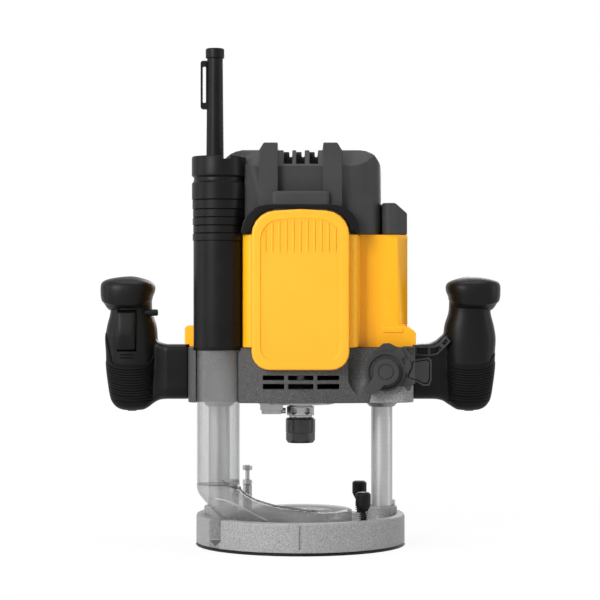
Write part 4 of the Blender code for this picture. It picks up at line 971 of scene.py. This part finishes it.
# Share of the run, lower wall as x and z, upper wall as x and z, y of the middle, half width and fullness
ELBOW = [
    (0.00, -80.7, 52.0, -47.3, 52.0, -43.0, 16.7, 1.0), (0.10, -80.7, 48.6, -47.4, 49.6, -43.0, 16.7, 1.0),
    (0.20, -79.2, 44.2, -46.8, 47.0, -43.0, 16.7, 1.0), (0.32, -74.8, 38.6, -44.4, 44.4, -42.6, 16.7, 1.0),
    (0.44, -68.8, 31.8, -40.4, 41.6, -41.8, 16.4, 0.97), (0.56, -60.8, 24.8, -35.2, 38.8, -40.4, 15.4, 0.92),
    (0.68, -50.0, 20.2, -28.4, 36.2, -38.4, 13.6, 0.87), (0.80, -35.0, 18.9, -20.0, 33.6, -36.2, 11.4, 0.82),
    (0.90, -20.0, 18.9, -11.0, 31.9, -34.4, 9.4, 0.78), (1.00, -4.0, 18.9, -0.6, 30.4, -33.4, 7.4, 0.74),
    (1.10, 8.0, 18.9, 10.0, 29.0, -31.9, 7.0, 0.72), (1.20, 19.0, 18.9, 20.0, 28.1, -27.4, 6.6, 0.7),
]
ELBOW_END = 1.2
ELBOW_STEPS = 52
ELBOW_POINTS = 64
# Way along the run over which the elbow's direction is taken
ELBOW_LOOK = 0.1
# Distance across and height of the rib along the front of the elbow
SHROUD_RIB = [(-66, 41.8), (-57, 40.2), (-48, 35.9), (-40, 31.4), (-32.1, 26.3), (-25, 23.0)]
# Radius of the rib, step between its points, and how far its middle is in front of the elbow
RIB_RADIUS = 0.9
RIB_STEP = 2.0
RIB_PROUD = 0.1
# Start of the rail on the front of the tube, before it follows the upper edge of the elbow
RAIL_START = [(-60.5, -59.4, 56.0), (-57, -58.2, 52.6), (-53, -55.6, 50.6), (-49.5, -51.3, 49.4)]
# Radius of the rail, its rise above that edge, and the shares of the run between which it follows it
RAIL_RADIUS = 1.0
RAIL_RISE = 0.3
RAIL_SHARES = (0.1, 1.15)


def elbow_middle(share):
    low_x, _, high_x, _, y, _, _ = between(ELBOW, share)
    return Vector(((low_x + high_x) / 2, y, 0))


def elbow_loop(share, shrink):
    """Section of the elbow, which leads from the tube into the front of the ring."""
    low_x, low_z, high_x, high_z, y, width, fullness = between(ELBOW, share)
    along = (elbow_middle(share + ELBOW_LOOK) - elbow_middle(share - ELBOW_LOOK)).normalized()
    across = Vector((-along.y, along.x, 0))
    half = Vector((high_x - low_x, 0, high_z - low_z)) / 2
    half -= half.normalized() * shrink
    middle = Vector(((low_x + high_x) / 2, y, (low_z + high_z) / 2))
    loop = []
    for angle in around(ELBOW_POINTS):
        up = half * squared(math.cos(angle), fullness)
        aside = across * (width - shrink) * squared(math.sin(angle), fullness)
        loop.append(middle + up + aside)
    return loop


def build_ring():
    """Clear ring over the cutter, with windows in the back of its skirt."""
    wall = SHROUD_WALL
    skirt = RING_LOW + SKIRT_RISE
    lip = [
        (RING_RADIUS, RING_LOW), (RING_RADIUS, RING_HIGH - RING_ROUND),
        (RING_RADIUS - RING_ROUND_MIDDLE, RING_HIGH - RING_ROUND_MIDDLE),
        (RING_RADIUS - RING_ROUND, RING_HIGH), (RING_HOLE, RING_HIGH), (RING_HOLE, skirt),
        (RING_HOLE + wall, skirt), (RING_HOLE + wall, RING_HIGH - wall),
        (RING_RADIUS - wall, RING_HIGH - wall), (RING_RADIUS - wall, RING_LOW),
    ]
    sill = RING_LOW + WINDOW_SILL
    spring = RING_LOW + WINDOW_SPRING
    windows = []
    for x in WINDOW_PLACES:
        arch = [(x - WINDOW_HALF, sill), (x + WINDOW_HALF, sill)]
        for angle in WINDOW_TURNS:
            arch.append((x + WINDOW_HALF * math.cos(angle), spring + WINDOW_RISE * math.sin(angle)))
        windows.append(plate(arch, *WINDOW_ENDS))
    ring = carved([lathe(lip, (0, 0), FINE_SIDES)], "shroud_ring", windows)
    add_piece("shroud_ring", ring, "base", "clear_plastic", "dust_shroud", finish="clear_shroud")


def build_shroud():
    """Clear elbow from the tube to the ring, with its rail and its rib."""
    shares = [ELBOW_END * i / ELBOW_STEPS for i in range(ELBOW_STEPS + 1)]
    outside = [elbow_loop(share, 0.0) for share in shares]
    inside = [elbow_loop(share, SHROUD_WALL) for share in reversed(shares)]
    elbow = skin(outside + inside, ring=True)
    tree = BVHTree.FromBMesh(elbow)
    mesh = as_mesh(elbow, "shroud_elbow")
    add_piece("shroud_elbow", mesh, "base", "clear_plastic", "dust_shroud", finish="clear_shroud")
    start, end = RAIL_SHARES
    rise = Vector((0, 0, RAIL_RISE))
    edge = [loop[0] + rise for share, loop in zip(shares, outside) if start < share < end]
    # The rail's dark grey is a painted dark line along the upper edge
    rail = as_mesh(sweep(RAIL_START + edge, RAIL_RADIUS), "shroud_rail")
    add_piece("shroud_rail", rail, "base", "clear_plastic", finish="rail_painted_dark_line")
    build_ring()

    # Rib along the front of the elbow, laid on its surface, with a less clear grey that is painted highlight
    # and shade
    points = []
    for x in levels(SHROUD_RIB[0][0], SHROUD_RIB[-1][0], RIB_STEP):
        z = between(SHROUD_RIB, x)[0]
        hit = tree.ray_cast(Vector((x * MM, -1, z * MM)), Vector((0, 1, 0)))[0]
        if hit is not None:
            points.append((x, hit.y / MM - RIB_PROUD, z))
    rib = as_mesh(sweep(points, RIB_RADIUS), "shroud_rib")
    add_piece("shroud_rib", rib, "base", "clear_plastic", finish="rib_painted_light")


# Lower end, upper end and radius of the hose adaptor's lower rings
RINGS = [
    (240.9, 246.7, 20.0), (246.7, 252.9, 19.6), (252.9, 259.1, 20.0), (259.1, 265.4, 19.8),
    (265.4, 272.8, 20.2), (272.8, 286.2, 20.6),
]
# Depth of the narrow grooves, height of their slopes and of their floor
GROOVE_IN = 0.6
GROOVE_SLOPE = 0.5
GROOVE_FLOOR = 0.1
# Radius and height of the wide groove, radius and drop from the top of the rim, radius and height of the bore
WIDE_GROOVE = [(19.0, 288.0), (19.0, 290.0), (20.7, 291.6)]
ADAPTOR_RIM = [(20.7, 1.0), (20.1, 0.0), (17.9, 0.0)]
ADAPTOR_BORE = [(17.9, 280), (17.0, 279.4), (17.0, 240.9)]
# Ends of the rim's notch along X, Y and Z, from the axis and the top
ADAPTOR_NOTCH = (3, 10, -30, -12, -3, 3)
# Ends of the block above the panel along X, Y and Z, and its rounding
CAP_STEP = (-22.3, 22.3, -58.9, -46, 262, 279.3)
CAP_STEP_ROUND = 2.6
# Foot of a small pin on the base, and its radius and height above the foot
PIN_PLACE = (74.8, 0.0, 30.4)
PIN = [(1.1, 0.0), (1.1, 4.6), (0.8, 5.2), (0.3, 5.4)]


def build_adaptor():
    """Ringed hose adaptor with narrow grooves, a wide groove and a notched rim."""
    low, high = [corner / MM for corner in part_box("hose_adaptor")]
    x, y, _ = (low + high) / 2
    profile = []
    for bottom, top, radius in RINGS:
        profile += [
            (radius - GROOVE_IN, bottom), (radius, bottom + GROOVE_SLOPE),
            (radius, top - GROOVE_SLOPE), (radius - GROOVE_IN, top - GROOVE_FLOOR),
        ]
    profile += WIDE_GROOVE
    profile += [(radius, high.z - drop) for radius, drop in ADAPTOR_RIM]
    profile += ADAPTOR_BORE
    places = (x, x, y, y, high.z, high.z)
    notch = block(*[place + way for place, way in zip(places, ADAPTOR_NOTCH)])
    mesh = carved([lathe(profile, (x, y), FINE_SIDES)], "hose_adaptor_shell", [notch])
    add_piece("hose_adaptor_shell", mesh, "carriage", "black_plastic", "hose_adaptor")


def build_cap_step():
    """Raised block above the panel, with a full round along its edges."""
    bm = block(*CAP_STEP)
    bmesh.ops.bevel(bm, geom=bm.edges, offset=CAP_STEP_ROUND * MM, segments=5, profile=0.5, affect="EDGES")
    add_piece("cap_step", as_mesh(bm, "cap_step"), "carriage", SLOTS["motor_cap"], finish="cap_black")


def build_pin():
    x, y, low = PIN_PLACE
    profile = [(radius, low + rise) for radius, rise in PIN]
    mesh = as_mesh(lathe(profile, (x, y), PIN_SIDES, ring=False), "column_pin")
    add_piece("column_pin", mesh, "base", "steel")


# Studio

FLOOR_HALF = 6.0
FLOOR_COLOUR = (0.9, 0.9, 0.9, 1)
FLOOR_ROUGHNESS = 0.9
# Distance over which the floor's share of white falls off towards the object, and the share at the middle
SHADOW_REACH = 0.5
SHADOW_WHITE = 0.9
SURROUND_STRENGTH = 0.22
WHITE = (1, 1, 1, 1)
LIT_PLACE = (0, 0, 0.2)
# Place, size and power of each lamp
LAMPS = {
    "key": ((-1.2, -1.8, 1.1), (0.9, 1.2), 44),
    "left_strip": ((-1.6, -0.3, 0.4), (0.35, 1.6), 6),
    "right_strip": ((1.6, -0.2, 0.4), (0.35, 1.6), 6),
    "top": ((0.0, -0.1, 1.9), (1.2, 0.8), 14),
    "back": ((0.6, 1.9, 1.0), (1.0, 1.2), 18),
}


def near_share(tree):
    """Share of white in the floor: a little less around the object, where its shadow shows."""
    space = tree.nodes.new("ShaderNodeTexCoord")
    mapping = tree.nodes.new("ShaderNodeMapping")
    mapping.inputs["Scale"].default_value = (1 / SHADOW_REACH, 1 / SHADOW_REACH, 1 / SHADOW_REACH)
    tree.links.new(space.outputs["Object"], mapping.inputs["Vector"])
    falloff = tree.nodes.new("ShaderNodeTexGradient")
    falloff.gradient_type = "SPHERICAL"
    tree.links.new(mapping.outputs["Vector"], falloff.inputs["Vector"])
    share = tree.nodes.new("ShaderNodeMapRange")
    share.inputs["To Min"].default_value = 1.0
    share.inputs["To Max"].default_value = SHADOW_WHITE
    tree.links.new(falloff.outputs["Fac"], share.inputs["Value"])
    return share.outputs["Result"]


def white_for_sight(tree, plain, white, share=None):
    """Mixes in white for what the camera, reflections and clear parts see."""
    path = tree.nodes.new("ShaderNodeLightPath")
    seen = None
    for ray in ("Is Camera Ray", "Is Glossy Ray", "Is Transmission Ray"):
        if seen is None:
            seen = path.outputs[ray]
            continue
        either = tree.nodes.new("ShaderNodeMath")
        either.operation = "MAXIMUM"
        tree.links.new(seen, either.inputs[0])
        tree.links.new(path.outputs[ray], either.inputs[1])
        seen = either.outputs["Value"]
    if share is not None:
        part = tree.nodes.new("ShaderNodeMath")
        part.operation = "MULTIPLY"
        tree.links.new(seen, part.inputs[0])
        tree.links.new(share, part.inputs[1])
        seen = part.outputs["Value"]
    mix = tree.nodes.new("ShaderNodeMixShader")
    tree.links.new(seen, mix.inputs["Fac"])
    tree.links.new(plain, mix.inputs[1])
    tree.links.new(white, mix.inputs[2])
    return mix.outputs["Shader"]


def white_floor():
    made = bpy.data.materials.new("floor_white")
    made.use_nodes = True
    nodes = made.node_tree.nodes
    shader = nodes["Principled BSDF"]
    shader.inputs["Base Color"].default_value = FLOOR_COLOUR
    shader.inputs["Roughness"].default_value = FLOOR_ROUGHNESS
    white = nodes.new("ShaderNodeEmission")
    tree = made.node_tree
    shown = white_for_sight(tree, shader.outputs["BSDF"], white.outputs["Emission"], near_share(tree))
    tree.links.new(shown, nodes["Material Output"].inputs["Surface"])
    return made


def build_floor():
    mesh = bpy.data.meshes.new("floor")
    half = FLOOR_HALF
    corners = [(-half, -half, 0), (half, -half, 0), (half, half, 0), (-half, half, 0)]
    mesh.from_pydata(corners, [], [(0, 1, 2, 3)])
    floor = bpy.data.objects.new("floor", mesh)
    floor.data.materials.append(white_floor())
    bpy.context.collection.objects.link(floor)


def area_light(name, place, size, power):
    light = bpy.data.lights.new(name, "AREA")
    light.shape = "RECTANGLE"
    light.size = size[0]
    light.size_y = size[1]
    light.energy = power
    made = bpy.data.objects.new(name, light)
    made.location = place
    made.rotation_euler = (Vector(LIT_PLACE) - Vector(place)).to_track_quat("-Z", "Y").to_euler()
    bpy.context.collection.objects.link(made)


def build_studio():
    for name, lamp in LAMPS.items():
        area_light(name, *lamp)
    world = bpy.data.worlds.new("studio")
    world.use_nodes = True
    nodes = world.node_tree.nodes
    surround = nodes["Background"]
    surround.inputs["Color"].default_value = WHITE
    surround.inputs["Strength"].default_value = SURROUND_STRENGTH
    white = nodes.new("ShaderNodeBackground")
    white.inputs["Color"].default_value = WHITE
    white.inputs["Strength"].default_value = 1.0
    shown = white_for_sight(world.node_tree, surround.outputs["Background"], white.outputs["Background"])
    world.node_tree.links.new(shown, nodes["World Output"].inputs["Surface"])
    bpy.context.scene.world = world


def build_camera():
    lens = bpy.data.cameras.new("camera")
    lens.lens = CAMERA_LENS
    lens.sensor_width = SENSOR_WIDTH
    made = bpy.data.objects.new("camera", lens)
    made.location = CAMERA_PLACE
    made.rotation_euler = (math.radians(90), 0, 0)
    bpy.context.collection.objects.link(made)
    bpy.context.scene.camera = made
    bpy.context.scene.view_settings.view_transform = "Standard"


build_camera()
dress_nodes()
build_handles()
build_casing_boss()
build_shroud()
build_adaptor()
build_cap_step()
build_pin()
build_floor()
build_studio()
